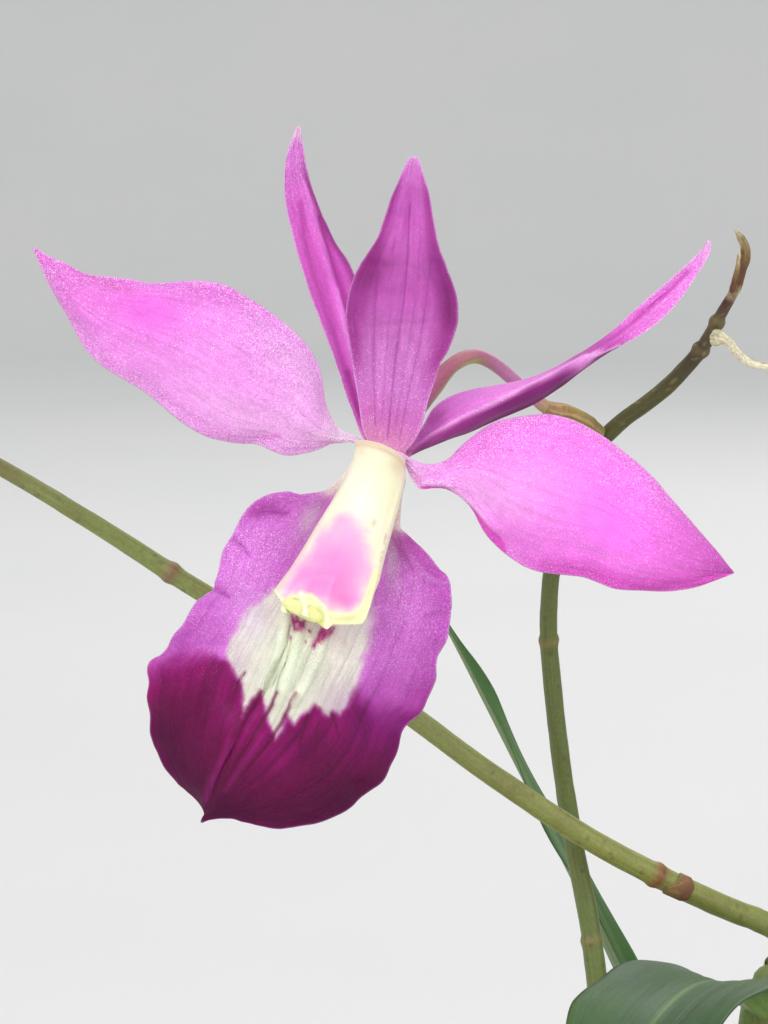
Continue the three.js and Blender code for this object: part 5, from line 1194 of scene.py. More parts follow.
def stem_piece():
    nodes = [share_near(STEM, at(*p)) for p in [(592, 940, 40.5), (549, 640, 34.3), (597, 442, 25.3), (701, 349.5, 16.3), (717.5, 322, 14.2)]]

    def relief(U, A, L):
        r = 0.03 * noise2(L / 1.4, np.cos(A) * 2, 101, np.sin(A) * 2)
        for i, k in enumerate(nodes):
            r = r + (0.16 if i < 3 else 0.22) * np.exp(-(((U - k) * STEM.length / 0.55) ** 2)) - 0.05 * np.exp(-(((U - k) * STEM.length / 0.3 - 2.4) ** 2))
        return r + 0.03 * np.cos(5 * A) * smooth(0.9, 0.5, U)

    def paint(U, A, L, co):
        s = [share_near(STEM, at(*p)) for p in [(549, 640, 34.3), (597, 447, 25.5), (648, 402.2, 21.3), (685, 368.5, 18), (701, 349.5, 16.3), (711, 334, 15), (719, 318, 14), (726.5, 305, 13.2)]]
        k = by([(0, "6f7a45"), (0.2, "6d7d40"), (s[0], "667338"), (s[1], "646c35"), (s[2], "6b6d36"), (s[3], "5f5a30"), (s[4], "59452e"), (s[5], "6a6237"), (s[6], "777142"), (s[7], "5c2f27"), (1, "6a3a2b")], U)
        k = mix(k, C("6b4030"), 0.5 * smooth(0.1, 0.8, fbm(co / 3.0, 103)) * smooth(s[1], s[4], U))
        for i, n in enumerate(nodes):
            k = mix(k, C("8f7c4a"), 0.7 * np.exp(-(((U - n) * STEM.length / 0.5) ** 2)))
        dots = smooth(0.55, 0.8, noise2(L / 0.35, np.cos(A) * 3, 104, np.sin(A) * 3)) * smooth(s[1], s[2], U)
        k = mix(k, C("b7ad72"), 0.7 * dots)
        tip = share_near(STEM, at(732, 294.5, 12.7))
        k = k * (1 - 0.2 * smooth(s[0], s[1], U))[..., None]
        return mix(k, C("cfc79a"), 0.85 * np.exp(-(((U - tip) * STEM.length / 0.35) ** 2)))

    u = np.unique(np.concatenate([np.linspace(0, 1, 260), *[np.linspace(k - 0.012, k + 0.012, 14) for k in nodes]]).clip(0, 1))
    tube_piece("flower_stem", STEM, [[0, 1.5], [0.1, 1.25], [0.55, 0.98], [0.75, 0.86], [0.9, 0.82], [0.95, 0.72], [1, 0.50]], 0, 20, paint, MAT["stem"], "stem", relief=relief, u=u)


stem_piece()

# ---- second stem, with its buds
bud_stem_pts = [V(31.6, 19.9, 197.0), V(32, 19.5, 202.2)] + [at(*p) for p in [(758, 920, 45.5), (738, 912.5, 44), (705, 898.5, 41.5), (655, 874.5, 38.2), (580, 833.5, 34.5), (480, 766.5, 31), (400, 708, 29.3), (300, 649, 28), (200, 591, 27), (100, 527, 26), (0, 467, 25), (-80, 428, 24), (-150, 408, 23), (-190, 402, 22)]]
BUDSTEM = Curve(bud_stem_pts)


def bud_stem_piece():
    at_nodes = [(655, 874.5, 38.2), (400, 708, 29.3), (170, 573, 26.7), (-28, 452, 24.7), (-104, 420, 23.7), (-142, 410, 23.1)]
    nodes = [share_near(BUDSTEM, at(*p)) for p in at_nodes]

    def relief(U, A, L):
        r = 0.03 * noise2(L / 1.6, np.cos(A) * 2, 111, np.sin(A) * 2) + 0.03 * np.cos(5 * A)
        for k in nodes:
            r = r + 0.20 * np.exp(-(((U - k) * BUDSTEM.length / 0.6) ** 2))
        return r

    def paint(U, A, L, co):
        k = by([(0, "8a8f4c"), (0.25, "93974f"), (0.5, "8b9350"), (0.75, "7f8c48"), (1, "8d7b55")], U)
        k = mix(k, C("a6a862"), 0.5 * smooth(0.0, 0.8, fbm(co / 6.0, 113)))
        for i, n in enumerate(nodes):
            k = mix(k, C("8c5236" if i == 0 else "87694a"), 0.85 * np.exp(-(((U - n) * BUDSTEM.length / 0.7) ** 2)))
        return k

    u = np.unique(np.concatenate([np.linspace(0, 1, 240), *[np.linspace(k - 0.012, k + 0.012, 14) for k in nodes]]).clip(0, 1))
    tube_piece("bud_stem", BUDSTEM, [[0, 1.5], [0.08, 1.3], [0.6, 1.05], [0.9, 0.8], [1, 0.45]], 0, 20, paint, MAT["stem"], "stem", relief=relief, u=u)


bud_stem_piece()


def sheath(name, curve, a, b, r0, r1, tip_at, colours):
    parts = Parts()
    bract(name, curve, a, b, r0, r1, parts, sweep=2.7, tip_at=tip_at, colours=colours)
    parts.make(name, MAT["husk"], "husk", [name])


sheath("stem_sheath_1", STEM, 0.018, 0.084, 1.75, 1.75, 0.6, ("8f8350", "c6b98a", "a9986a"))
sheath("stem_sheath_2", STEM, 0.203, 0.250, 1.32, 1.45, 2.2, ("8a7648", "c3b07c", "a58e5e"))
sheath("bud_stem_sheath_1", BUDSTEM, 0.002, 0.028, 1.8, 1.75, -0.8, ("94854e", "cbbd8c", "ab9a68"))
sheath("bud_stem_sheath_2", BUDSTEM, 0.168, 0.193, 1.32, 1.38, 2.6, ("7a4a33", "94764a", "7f5a3c"))


# ---- withered end of the flower stem
def withered():
    def paint1(U, A, L, co):
        k = by([(0, "c9bf92"), (0.12, "7a4b30"), (0.35, "6d4a2c"), (0.6, "8c7346"), (0.85, "c2b184"), (1, "ded3ac")], U)
        return mix(k, C("4e3320"), 0.5 * smooth(0.1, 0.8, noise2(L / 0.7, np.cos(A) * 2, 121, np.sin(A) * 2)))

    def relief(U, A, L):
        return 0.12 * np.cos(2 * A + 5 * U) * smooth(0.1, 0.5, U) * (1 - 0.5 * U) + 0.06 * noise2(L / 0.8, np.cos(A) * 3, 122, np.sin(A) * 3)

    tube_piece("withered_tip_1", [at(*p) for p in [(735.6, 290, 12.6), (738.5, 282, 12.4), (741.5, 272, 12), (744.6, 261.4, 11.5), (745.2, 251, 11), (741.8, 239.5, 10.5), (735, 229.8, 10)]], [[0, 0.5], [0.3, 0.44], [0.6, 0.40], [0.85, 0.34], [1, 0.13]], 60, 16, paint1, MAT["dry"], "husk", relief=relief)
    tube_piece("withered_tip_2", [at(*p) for p in [(732.2, 292, 12.1), (733, 287, 11.3), (736, 275, 10.7), (738, 264.5, 10.2), (738.6, 254, 9.9)]], [[0, 0.34], [0.4, 0.30], [1, 0.12]], 40, 12, paint1, MAT["dry"], "husk", relief=lambda U, A, L: 0.6 * relief(U, A, L))


withered()


def spent_stalk():
    pts = [at(*p) for p in [(713.5, 337, 14.2), (716.5, 338, 13.3), (721, 338.3, 12.4), (728, 341.4, 11.6), (736.5, 352, 11), (746.7, 361, 10.6), (758.5, 365.5, 10.3), (770, 366.5, 10.2), (786, 365.5, 10.4), (800, 362, 10.8)]]

    def paint(U, A, L, co):
        k = by([(0, "8d7f4e"), (0.06, "e6e4b8"), (0.17, "efecc6"), (0.22, "e9e4bd"), (0.5, "eee9cc"), (0.8, "e3dab8"), (1, "c0a878")], U)
        line = np.exp(-(((np.cos(A) - 0.55) / 0.22) ** 2)) * smooth(0.2, 0.3, U)
        k = mix(k, C("7c5a3a"), 0.65 * line * smooth(-0.4, 0.3, noise2(L / 1.1, U * 0, 131)))
        return mix(k, C("8f8a4e"), 0.6 * smooth(0.3, 0.8, noise2(L / 0.5, np.cos(A) * 2, 132, np.sin(A) * 2)) * smooth(0.24, 0.18, U))

    def relief(U, A, L):
        knob = np.exp(-(((U - 0.115) / 0.06) ** 2))
        return 0.10 * knob * np.cos(3 * A + 1) + 0.05 * noise2(L / 0.7, np.cos(A) * 2, 133, np.sin(A) * 2) + 0.09 * np.cos(2 * A + 9 * U) * smooth(0.2, 0.35, U)

    tube_piece("spent_flower_stalk", pts, [[0, 0.40], [0.05, 0.62], [0.11, 0.86], [0.17, 0.74], [0.22, 0.42], [0.45, 0.36], [0.8, 0.34], [1, 0.16]], 110, 18, paint, MAT["dry"], "husk", relief=relief)


spent_stalk()


def bud(name, px_pts, stalk, length, width, seed):
    pts = [at(*p) for p in px_pts]
    d = unit(pts[-1] - pts[-2])
    al = pts + [pts[-1] + d * length * 0.5, pts[-1] + d * length]
    curve = Curve(al)
    s = 1 - length / curve.length
    keys_ = [[0, stalk], [s - 0.03, stalk * 0.95], [s + 0.06, width * 0.62], [s + (1 - s) * 0.4, width], [s + (1 - s) * 0.75, width * 0.62], [1, 0.12]]

    def relief(U, A, L):
        on = smooth(s, s + 0.15, U) * smooth(1.0, 0.93, U)
        seam = np.abs(np.sin(1.5 * (A + 0.5 * U)))
        return -0.20 * width * on * np.exp(-((seam / 0.16) ** 2)) + 0.05 * width * on * np.cos(6 * A) + 0.02 * noise2(U * 20, np.cos(A) * 2, seed, np.sin(A) * 2)

    def paint(U, A, L, co):
        seam = np.abs(np.sin(1.5 * (A + 0.5 * U)))
        k = by([(0, "8c7a52"), (max(0.01, s - 0.08), "a57a70"), (s + 0.04, "a8688a"), (s + (1 - s) * 0.35, "b65fa6"), (s + (1 - s) * 0.7, "c06cb2"), (0.96, "b9a17a"), (1, "a9b06c")], U)
        k = mix(k, C("7d2f6e"), 0.7 * np.exp(-((seam / 0.2) ** 2)) * smooth(s, s + 0.1, U))
        return mix(k, C("d48fca"), 0.4 * smooth(0.0, 0.8, np.cos(3 * A + 1.5 * U + np.pi)) * smooth(s, s + 0.1, U))

    tube_piece(name, curve, keys_, 90, 36, paint, MAT["bud"], "bud", relief=relief)


bud("bud_1", [(-28, 452, 24.6), (-30, 436, 23.2), (-40, 418, 20), (-62, 396, 14.5), (-78, 392, 8)], 0.62, 12, 2.7, 141)
bud("bud_2", [(-104, 420, 23.7), (-105, 434, 22.8), (-112, 452, 20.5), (-130, 474, 17), (-150, 482, 11.5)], 0.6, 10.5, 2.4, 142)
bud("bud_3", [(-142, 410, 23.1), (-142, 392, 21.6), (-150, 374, 19), (-168, 356, 15.5), (-184, 352, 10.5)], 0.55, 9, 2.0, 143)
bud("bud_4", [(-188, 402.5, 22.1), (-197, 400, 21.4), (-207, 396, 20.4), (-222, 390, 18)], 0.5, 6.5, 1.5, 144)


# ------------------------------------------------------------------ rhizome, canes, shoot
RZ = 69.9
CANES = {
    "cane_1": dict(path=[(4.5, 2, 72.6), (6, 3, 90), (8.5, 5, 120), (11, 7, 145), (12, 8, 163)], r=[[0, 2.3], [0.12, 3.6], [0.35, 4.7], [0.7, 4.2], [1, 2.7]], age=0.25, nodes=(0.10, 0.22, 0.34, 0.45, 0.60, 0.76, 0.90)),
    "cane_2": dict(path=[(20.5, 10.5, 72.6), (22, 12, 95), (25.8, 15, 140), (29.2, 18, 176), (31.4, 19.6, 197)], r=[[0, 2.4], [0.1, 3.8], [0.3, 5], [0.7, 4.4], [1, 2.7]], age=0.2, nodes=(0.08, 0.17, 0.28, 0.40, 0.54, 0.68, 0.83, 0.93)),
    "cane_3": dict(path=[(-15.5, 7.2, 72.6), (-18, 9.5, 90), (-23, 14, 112), (-29, 18, 136)], r=[[0, 2.3], [0.15, 3.7], [0.4, 4.3], [0.8, 3.4], [1, 1.6]], age=0.9, nodes=(0.12, 0.28, 0.45, 0.62, 0.78, 0.92)),
    "cane_4": dict(path=[(-30, 0, 72.6), (-33, -1, 86), (-37, -4, 103), (-39, -8, 118)], r=[[0, 2.2], [0.2, 3.5], [0.5, 3.8], [0.85, 2.8], [1, 1.3]], age=1.0, nodes=(0.14, 0.34, 0.54, 0.74, 0.9)),
    "new_shoot": dict(path=[(32.5, -8.3, 72.6), (34.5, -11, 83), (37, -14.5, 97), (39, -17, 109)], r=[[0, 2.2], [0.15, 3.2], [0.5, 3.5], [0.85, 2.6], [1, 1.5]], age=0.0, nodes=(0.16, 0.34, 0.5, 0.7, 0.92)),
}


def cane_piece(name, spec, seed):
    curve = Curve(spec["path"])
    nodes, age, ln = spec["nodes"], spec["age"], curve.length
    edges = [0.0, *nodes, 1.0]

    def sheath_mask(U, A):
        m = np.zeros_like(U)
        for i, (a, b) in enumerate(zip(edges[:-1], edges[1:])):
            reach = 0.92 - 0.5 * (a > 0.5) * (1 - age) if age < 0.5 else 0.80
            if age == 0 and a > 0.3:
                reach = 0.0
            top = a + (b - a) * (reach + 0.10 * noise2(np.cos(A) * 2.2, np.sin(A) * 2.2, seed + i) + 0.05 * noise2(np.cos(A) * 9, np.sin(A) * 9, seed + 40 + i))
            inside = smooth(0.0, 0.5 / ln, top - U) * (U >= a) * (U < b)
            m = np.maximum(m, inside * (reach > 0))
        if age > 0.5:
            m = m * smooth(-0.5, -0.1, noise2(np.cos(A) * 1.4, np.sin(A) * 1.4, seed + 7, U * ln / 14))
        return m

    def relief(U, A, L):
        cs, sn = np.cos(A), np.sin(A)
        r = 0.05 * noise2(L / 5, cs * 2, seed + 1, sn * 2)
        for k in nodes:
            d = (U - k) * ln
            r = r + 0.26 * np.exp(-((d / 0.7) ** 2)) - 0.14 * np.exp(-(((d - 1.3) / 0.7) ** 2))
        r = r + 0.20 * sheath_mask(U, A) * (1 + 0.25 * noise2(cs * 7, sn * 7, seed + 2, L / 20))
        wr = (0.04 + 0.22 * age) * (np.cos(9 * A + 0.6 * np.sin(U * 13)) + 0.5 * np.cos(15 * A + 2))
        return r + 0.5 * wr * smooth(0.0, 0.1, U) * (0.6 + 0.4 * noise2(L / 8, cs * 3, seed + 3, sn * 3))

    def paint(U, A, L, co):
        cs, sn = np.cos(A), np.sin(A)
        if age > 0.5:
            k = by([(0, "7d6b42"), (0.4, "8b7d47"), (0.8, "857345"), (1, "6b5638")], U)
            k = mix(k, C("6d4a45"), 0.55 * smooth(0.0, 0.7, fbm(np.stack([cs * 1.3, sn * 1.3, L / 12], -1), seed + 4)))
        elif age == 0:
            k = by([(0, "8f9a55"), (0.5, "94aa52"), (1, "86a548")], U)
        else:
            k = by([(0, "7f8245"), (0.4, "7f8f48"), (0.8, "789046"), (1, "7a8d4c")], U)
            k = mix(k, C("7b5a4c"), 0.35 * smooth(0.1, 0.8, fbm(np.stack([cs * 1.3, sn * 1.3, L / 14], -1), seed + 4)))
        for n in nodes:
            d = (U - n) * ln
            k = mix(k, C("6e5b36"), 0.7 * np.exp(-(((d - 0.3) / 0.45) ** 2)))
            k = mix(k, C("b3b07a"), 0.5 * np.exp(-(((d + 0.8) / 0.6) ** 2)))
        m = sheath_mask(U, A)
        fibre = noise2(cs * 14, sn * 14, seed + 5, L / 9)
        husk = mix(base(U, "cdc09a"), C("ad9a6d"), smooth(-0.3, 0.7, fibre))
        husk = mix(husk, C("8a744c"), 0.6 * smooth(0.2, 0.9, noise2(cs * 2, sn * 2, seed + 6, L / 5)))
        husk = mix(husk, C("dcd4b8"), 0.5 * smooth(0.2, 0.8, noise2(cs * 5, sn * 5, seed + 8, L / 13)))
        if age == 0:
            husk = mix(husk, C("a5b26a"), 0.6)
        return mix(k, husk, m * (0.93 if age > 0.5 else 0.85))

    nr, nu = 60, max(120, int(ln * 1.5))
    tube_piece(name, curve, spec["r"], nu, nr, paint, MAT["cane"], "cane", relief=relief)


for i, (n, s) in enumerate(CANES.items()):
    cane_piece(n, s, 200 + 60 * i)


def rhizome_piece():
    pts = [(-37, -4, RZ - 0.4), (-30, 0, RZ), (-16, 7, RZ), (-6, 5, RZ), (5, 2, RZ), (13, 7, RZ), (21, 10, RZ), (28, 2, RZ), (33, -9, RZ)]
    curve = Curve(pts)
    rings = np.arange(0.04, 0.97, 0.036)

    def relief(U, A, L):
        r = 0.12 * noise2(L / 3, np.cos(A) * 2, 151, np.sin(A) * 2)
        for k in rings:
            d = (U - k) * curve.length
            r = r + 0.22 * np.exp(-((d / 0.35) ** 2)) * (0.7 + 0.5 * noise2(np.cos(A) * 2, np.sin(A) * 2, 152, k * 40))
        for q in [(4.5, 2), (20.5, 10.5), (-15.5, 7.2), (-30, 0), (32.5, -8.3)]:
            s = share_near(curve, V(q[0], q[1], RZ))
            r = r + 0.5 * np.exp(-(((U - s) * curve.length / 2.6) ** 2))
        return r

    def paint(U, A, L, co):
        k = mix(base(U, "7c6540"), C("8f8450"), smooth(-0.2, 0.6, fbm(co / 5, 153)))
        for q in rings:
            k = mix(k, C("4f3a24"), 0.6 * np.exp(-(((U - q) * curve.length / 0.3 - 1) ** 2)))
        scale_ = smooth(0.1, 0.5, noise2(L / 4.5, np.cos(A) * 1.3, 154, np.sin(A) * 1.3))
        return mix(k, C("c2b188"), 0.7 * scale_)

    tube_piece("rhizome", curve, [[0, 1.6], [0.06, 2.5], [0.5, 2.7], [0.94, 2.4], [1, 1.7]], 260, 40, paint, MAT["cane"], "cane", relief=relief)


rhizome_piece()


# ------------------------------------------------------------------ roots
def polar(r, deg, z):
    return (r * math.cos(math.radians(deg)), r * math.sin(math.radians(deg)), z)


ROOTS = {
    "root_1": ([(3, -2.2, 69), (-1, -12, 69.2), polar(25, 250, 69), polar(38, 246, 68.6), polar(44.2, 250, 74.5), polar(49, 251, 80.2), polar(54.9, 252, 78.6), polar(55.2, 254, 66), polar(52.9, 257, 56), polar(50, 259, 44), polar(46.8, 258, 30)], [[0, 1.2], [0.06, 1.6], [0.9, 1.5], [0.97, 1.25], [1, 0.7]]),
    "root_2": ([(24.8, -0.8, 69), (28, -12, 69), polar(38, 331, 68.6), polar(44.2, 334, 74.5), polar(49, 336, 80.1), polar(54.8, 338, 78.2), polar(55, 340, 66), polar(52.5, 343, 55), polar(50.4, 344, 46)], [[0, 1.1], [0.06, 1.4], [0.9, 1.3], [0.97, 1.1], [1, 0.6]]),
    "root_3": ([(-20, 1.1, 69), (-22, -8, 68.8), (-17, -18, 68.7), (-20, -28, 68.5), (-28, -32, 68.3)], [[0, 1.1], [0.08, 1.5], [0.85, 1.4], [0.95, 1.2], [1, 0.7]]),
    "root_4": ([(-9, 9.6, 69), (-8, 19, 68.8), (-14, 28, 68.6), (-12, 38, 68.1)], [[0, 1], [0.1, 1.4], [0.85, 1.3], [0.95, 1.1], [1, 0.7]]),
    "root_5": ([(12, 1.3, 69), (15, -10, 68.8), (10, -22, 68.6), (15, -34, 68.3)], [[0, 1.1], [0.08, 1.5], [0.85, 1.4], [0.95, 1.2], [1, 0.7]]),
    "root_6": ([(24.5, 12.5, 69), (28, 22, 68.8), (22, 31, 68.5), polar(43, 48, 69.4), polar(47.5, 44, 80.1), polar(53, 42, 80.6), polar(55.3, 41, 72), polar(52.8, 40, 57)], [[0, 1.1], [0.08, 1.35], [0.88, 1.2], [0.96, 1.0], [1, 0.6]]),
}


def root_piece(name, pts, radius, seed):
    curve = Curve(pts)
    ln = curve.length

    def relief(U, A, L):
        cs, sn = np.cos(A), np.sin(A)
        return 0.10 * noise2(L / 3.5, cs * 1.5, seed, sn * 1.5) + 0.06 * noise2(L / 1.1, cs * 2.5, seed + 1, sn * 2.5) + 0.08 * noise2(L / 7, U * 0, seed + 2)

    def paint(U, A, L, co):
        k = mix(base(U, "dcd9ca"), C("bdb79c"), smooth(-0.2, 0.7, fbm(co / 4.5, seed + 3)))
        k = mix(k, C("a8ac80"), 0.55 * smooth(0.0, 0.7, fbm(co / 9.0, seed + 4)))
        k = mix(k, C("8f7f5e"), 0.5 * smooth(0.35, 0.8, noise2(L / 2.2, np.cos(A), seed + 5, np.sin(A))))
        tip = (1 - U) * ln
        k = mix(k, C("a9b968"), 0.95 * smooth(6.5, 4.5, tip))
        return mix(k, C("8f5a4a"), 0.7 * smooth(1.8, 0.4, tip))

    tube_piece(name, curve, radius, int(ln * 1.7), 24, paint, MAT["root"], "root", relief=relief)


for i, (n, (p, r)) in enumerate(ROOTS.items()):
    root_piece(n, p, r, 500 + 10 * i)

# ------------------------------------------------------------------ leaves
LEAF_WIDTH = [[0, 0.3], [0.08, 0.46], [0.22, 0.8], [0.42, 1], [0.62, 0.93], [0.8, 0.62], [0.92, 0.27], [1, 0.04]]
LEAVES = {  # cane, share of its height, azimuth, rise, length, width, droop, twist, age
    "cane_1_leaf_1": ("cane_1", 0.45, 205, 42, 74, 17, 62, 6, 0.8),
    "cane_1_leaf_2": ("cane_1", 0.6, 322, 46, 62, 16, 70, -8, 0.5),
    "cane_1_leaf_3": ("cane_1", 0.76, 212, 50, 84, 19, 58, 8, 0.3),
    "cane_1_leaf_4": ("cane_1", 0.9, 290, 50, 56, 15, 74, -6, 0.2),
    "cane_2_leaf_1": ("cane_2", 0.4, 352, 44, 78, 18, 66, 6, 0.7),
    "cane_2_leaf_2": ("cane_2", 0.54, 158, 44, 84, 19, 64, -6, 0.6),
    "cane_2_leaf_3": ("cane_2", 0.68, 345, 48, 84, 20, 60, 8, 0.3),
    "cane_2_leaf_4": ("cane_2", 0.83, 174, 66, 72, 10.5, 4, 0, 0.1),
    "cane_2_leaf_5": ("cane_2", 0.93, 48, 64, 70, 18, 45, 10, 0.1),
    "cane_2_leaf_6": ("cane_2", 0.975, 245, 40, 62, 17, 84, 0, 0.15),
    "new_shoot_leaf_1": ("new_shoot", 0.5, 300, 56, 42, 12, 50, 4, 0.0),
    "new_shoot_leaf_2": ("new_shoot", 0.92, 120, 66, 38, 11, 38, -4, 0.0),
}


def leaf_piece(name, spec, seed):
    cane, share, az, rise, length, width, droop, twist, age = spec
    a, e, D, TW = (math.radians(x) for x in (az, rise, droop, twist))
    out, side_dir, zed = V(math.cos(a), math.sin(a), 0), V(-math.sin(a), math.cos(a), 0), V(0, 0, 1)
    curve = Curve(CANES[cane]["path"])
    rad = float(key(CANES[cane]["r"], share))
    foot = curve(share)
    origin = foot + out * (rad + 1.35)
    nu, nv = 72, 33
    x, y = np.linspace(0, 1, nu), np.linspace(-1, 1, nv)
    u = 0.75 * x + 0.25 * (1 - np.cos(np.pi * x)) / 2
    s = 0.7 * y + 0.3 * np.sin(np.pi / 2 * y)
    mx, mz = np.zeros(nu), np.zeros(nu)
    for i in range(12):
        t = e - D * (u * (i + 0.5) / 12)
        mx += np.cos(t) * length * u / 12
        mz += np.sin(t) * length * u / 12
    th = e - D * u
    U, S = np.meshgrid(u, s, indexing="ij")
    w = width * 0.5 * key(LEAF_WIDTH, u)[:, None]
    fold = (0.30 * (1 - u * 0.55))[:, None]
    sa = (np.sqrt(S * S + 0.02) - math.sqrt(0.02)) / (math.sqrt(1.02) - math.sqrt(0.02))
    lift, across = w * fold * sa, S * w
    edge = (1 - np.abs(S)) * w
    # midrib channel, faint ribs and a lazy wave along the edges
    lift = lift - 0.16 * np.exp(-((across / 0.45) ** 2)) * smooth(1.0, 0.3, U)
    lift = lift + 0.035 * np.cos(across / 0.62 * 2) * smooth(0.5, 2.5, w)
    lift = lift + np.abs(S) ** 3 * (0.55 * np.sin(U * 11 + seed) + 0.25 * np.sin(U * 23 + 2 * seed + S)) * smooth(0.1, 0.35, U) * smooth(1.0, 0.8, U)
    lift = lift + 0.12 * noise2(U * 5, S * 1.5, seed)
    tw = (TW * U)
    acr, lf = across * np.cos(tw) - lift * np.sin(tw), across * np.sin(tw) + lift * np.cos(tw)
    nx, nz = (-np.sin(th))[:, None], np.cos(th)[:, None]
    pull = 1.15 * smooth(0.09, 0.0, U)  # the blade's foot comes in to the cane
    g = origin + (mx[:, None] + nx * lf - pull)[..., None] * out + (mz[:, None] + nz * lf)[..., None] * zed + acr[..., None] * side_dir
    k = np.clip(np.minimum(edge, (1 - U) * length * 0.5) / 0.4, 0, 1)
    thick = (0.62 - 0.30 * U) * (0.45 + 0.55 * np.exp(-((across / (0.35 * w + 0.3)) ** 2))) * np.sqrt(1 - (1 - k) ** 2)
    thick = thick + 0.55 * np.exp(-((across / 0.5) ** 2)) * smooth(1.0, 0.2, U) * 0.6 * (k > 0)

    def colours(side):
        top, under = C("2a5023") if name == "cane_2_leaf_6" else C("3a672a"), C("648545")
        c = np.broadcast_to(top if side > 0 else under, (*U.shape, 3)).copy()
        c = mix(c, C("86a04e") if side > 0 else C("8ea75c"), 0.85 * smooth(0.16, 0.0, U))
        c = mix(c, C("517d33"), 0.5 * smooth(-0.2, 0.7, fbm(g / 11.0, seed + 1)) * (side > 0))
        c = mix(c, C("84a257") if side > 0 else C("a4b977"), 0.7 * np.exp(-((across / 0.32) ** 2)) * smooth(1.0, 0.5, U))
        rib = np.abs(np.sin(across / 0.95))
        c = c * (1 - 0.10 * np.exp(-((rib / 0.25) ** 2)) * smooth(0.8, 2.5, w))[..., None]
        c = mix(c, C("5e4638"), 0.55 * np.exp(-((edge / 0.22) ** 2)) * (0.4 + 0.6 * age))
        brown = smooth(0.955 - 0.05 * age, 0.985 - 0.03 * age, U + 0.012 * noise2(S * 5, U * 9, seed + 2))
        c = mix(c, C("a98f52"), 0.8 * smooth(0.93 - 0.06 * age, 0.965 - 0.03 * age, U + 0.012 * noise2(S * 5, U * 9, seed + 2)) * (age > 0.25))
        c = mix(c, C("6f5333"), brown * (age > 0.25))
        c = mix(c, C("93a34c"), 0.35 * age * smooth(0.15, 0.7, fbm(g / 16.0, seed + 3)))
        spots = smooth(0.62, 0.8, noise2(U * length / 1.3, S * width / 2.6, seed + 4)) * age
        return mix(c, C("6a5a30"), 0.55 * spots)

    flow = np.stack([U * length, S * width * 0.5, np.zeros_like(U)], -1)
    co, f, attrs = closed_sheet(g, thick, foot + zed * 400 + out * 40, flow, colours, {})
    parts = Parts()
    parts.add(co, f, **attrs)
    # the sheath: wraps the cane below the blade, open on the far side near its top
    low = max(0.0, share - 15.0 / curve.length)
    m, nr2 = 20, 37
    uu, vv = np.linspace(0, 1, m), np.linspace(-1, 1, nr2)
    UU, VV = np.meshgrid(uu, vv, indexing="ij")
    c0 = curve(low + (share + 2.0 / curve.length - low) * uu)
    rr = key(CANES[cane]["r"], low + (share - low) * uu)[:, None] + 0.32 + 0.30 * UU + 0.05 * noise2(UU * 5, VV * 4, seed + 5)
    ang = a + VV * (math.pi * (0.985 - 0.42 * smooth(0.45, 1.0, UU) - 0.10 * UU))
    sg = c0[:, None] + (np.cos(ang) * rr)[..., None] * V(1, 0, 0) + (np.sin(ang) * rr)[..., None] * V(0, 1, 0)
    ee = np.minimum((1 - np.abs(VV)) * 3 * rr, np.minimum(UU, 1 - UU) * 12)
    st = 0.30 * np.sqrt(1 - (1 - np.clip(ee / 0.4, 0, 1)) ** 2)

    def sheath_colours(side):
        c = by([(0, "a6a468"), (0.2, "8c9c55"), (0.7, "7f9a4c"), (1, "7d9a4a")], UU)
        c = mix(c, C("c9bd92"), (0.25 + 0.6 * age) * smooth(-0.3, 0.5, noise2(VV * 5, UU * 3, seed + 6)))
        return mix(c, C("7b5748"), 0.3 * smooth(0.2, 0.8, noise2(VV * 2, UU * 2, seed + 7)))

    sf = np.stack([UU * 15, VV * math.pi * rr, np.zeros_like(UU)], -1)
    co, f, attrs = closed_sheet(sg, st, curve(low) + out * 400, sf, sheath_colours, {})
    parts.add(co, f, **attrs)
    parts.make(name, MAT["leaf"], "leaf", [name])


for i, (n, s) in enumerate(LEAVES.items()):
    leaf_piece(n, s, 700 + 20 * i)


# ------------------------------------------------------------------ pot
POT_HEIGHT, POT_RIM_R, POT_RIM_BAND, POT_BODY_R, POT_BASE_R, POT_WALL, POT_FLOOR = 78, 53, 17, 49.5, 36, 5, 6
DRAIN_R, DRAIN_AT, BARK_TOP = 5, 21, 66.5


def arc(cx, cz, r, a0, a1, n):
    t = np.radians(np.linspace(a0, a1, n))
    return [(cx + r * math.cos(v), cz + r * math.sin(v)) for v in t]


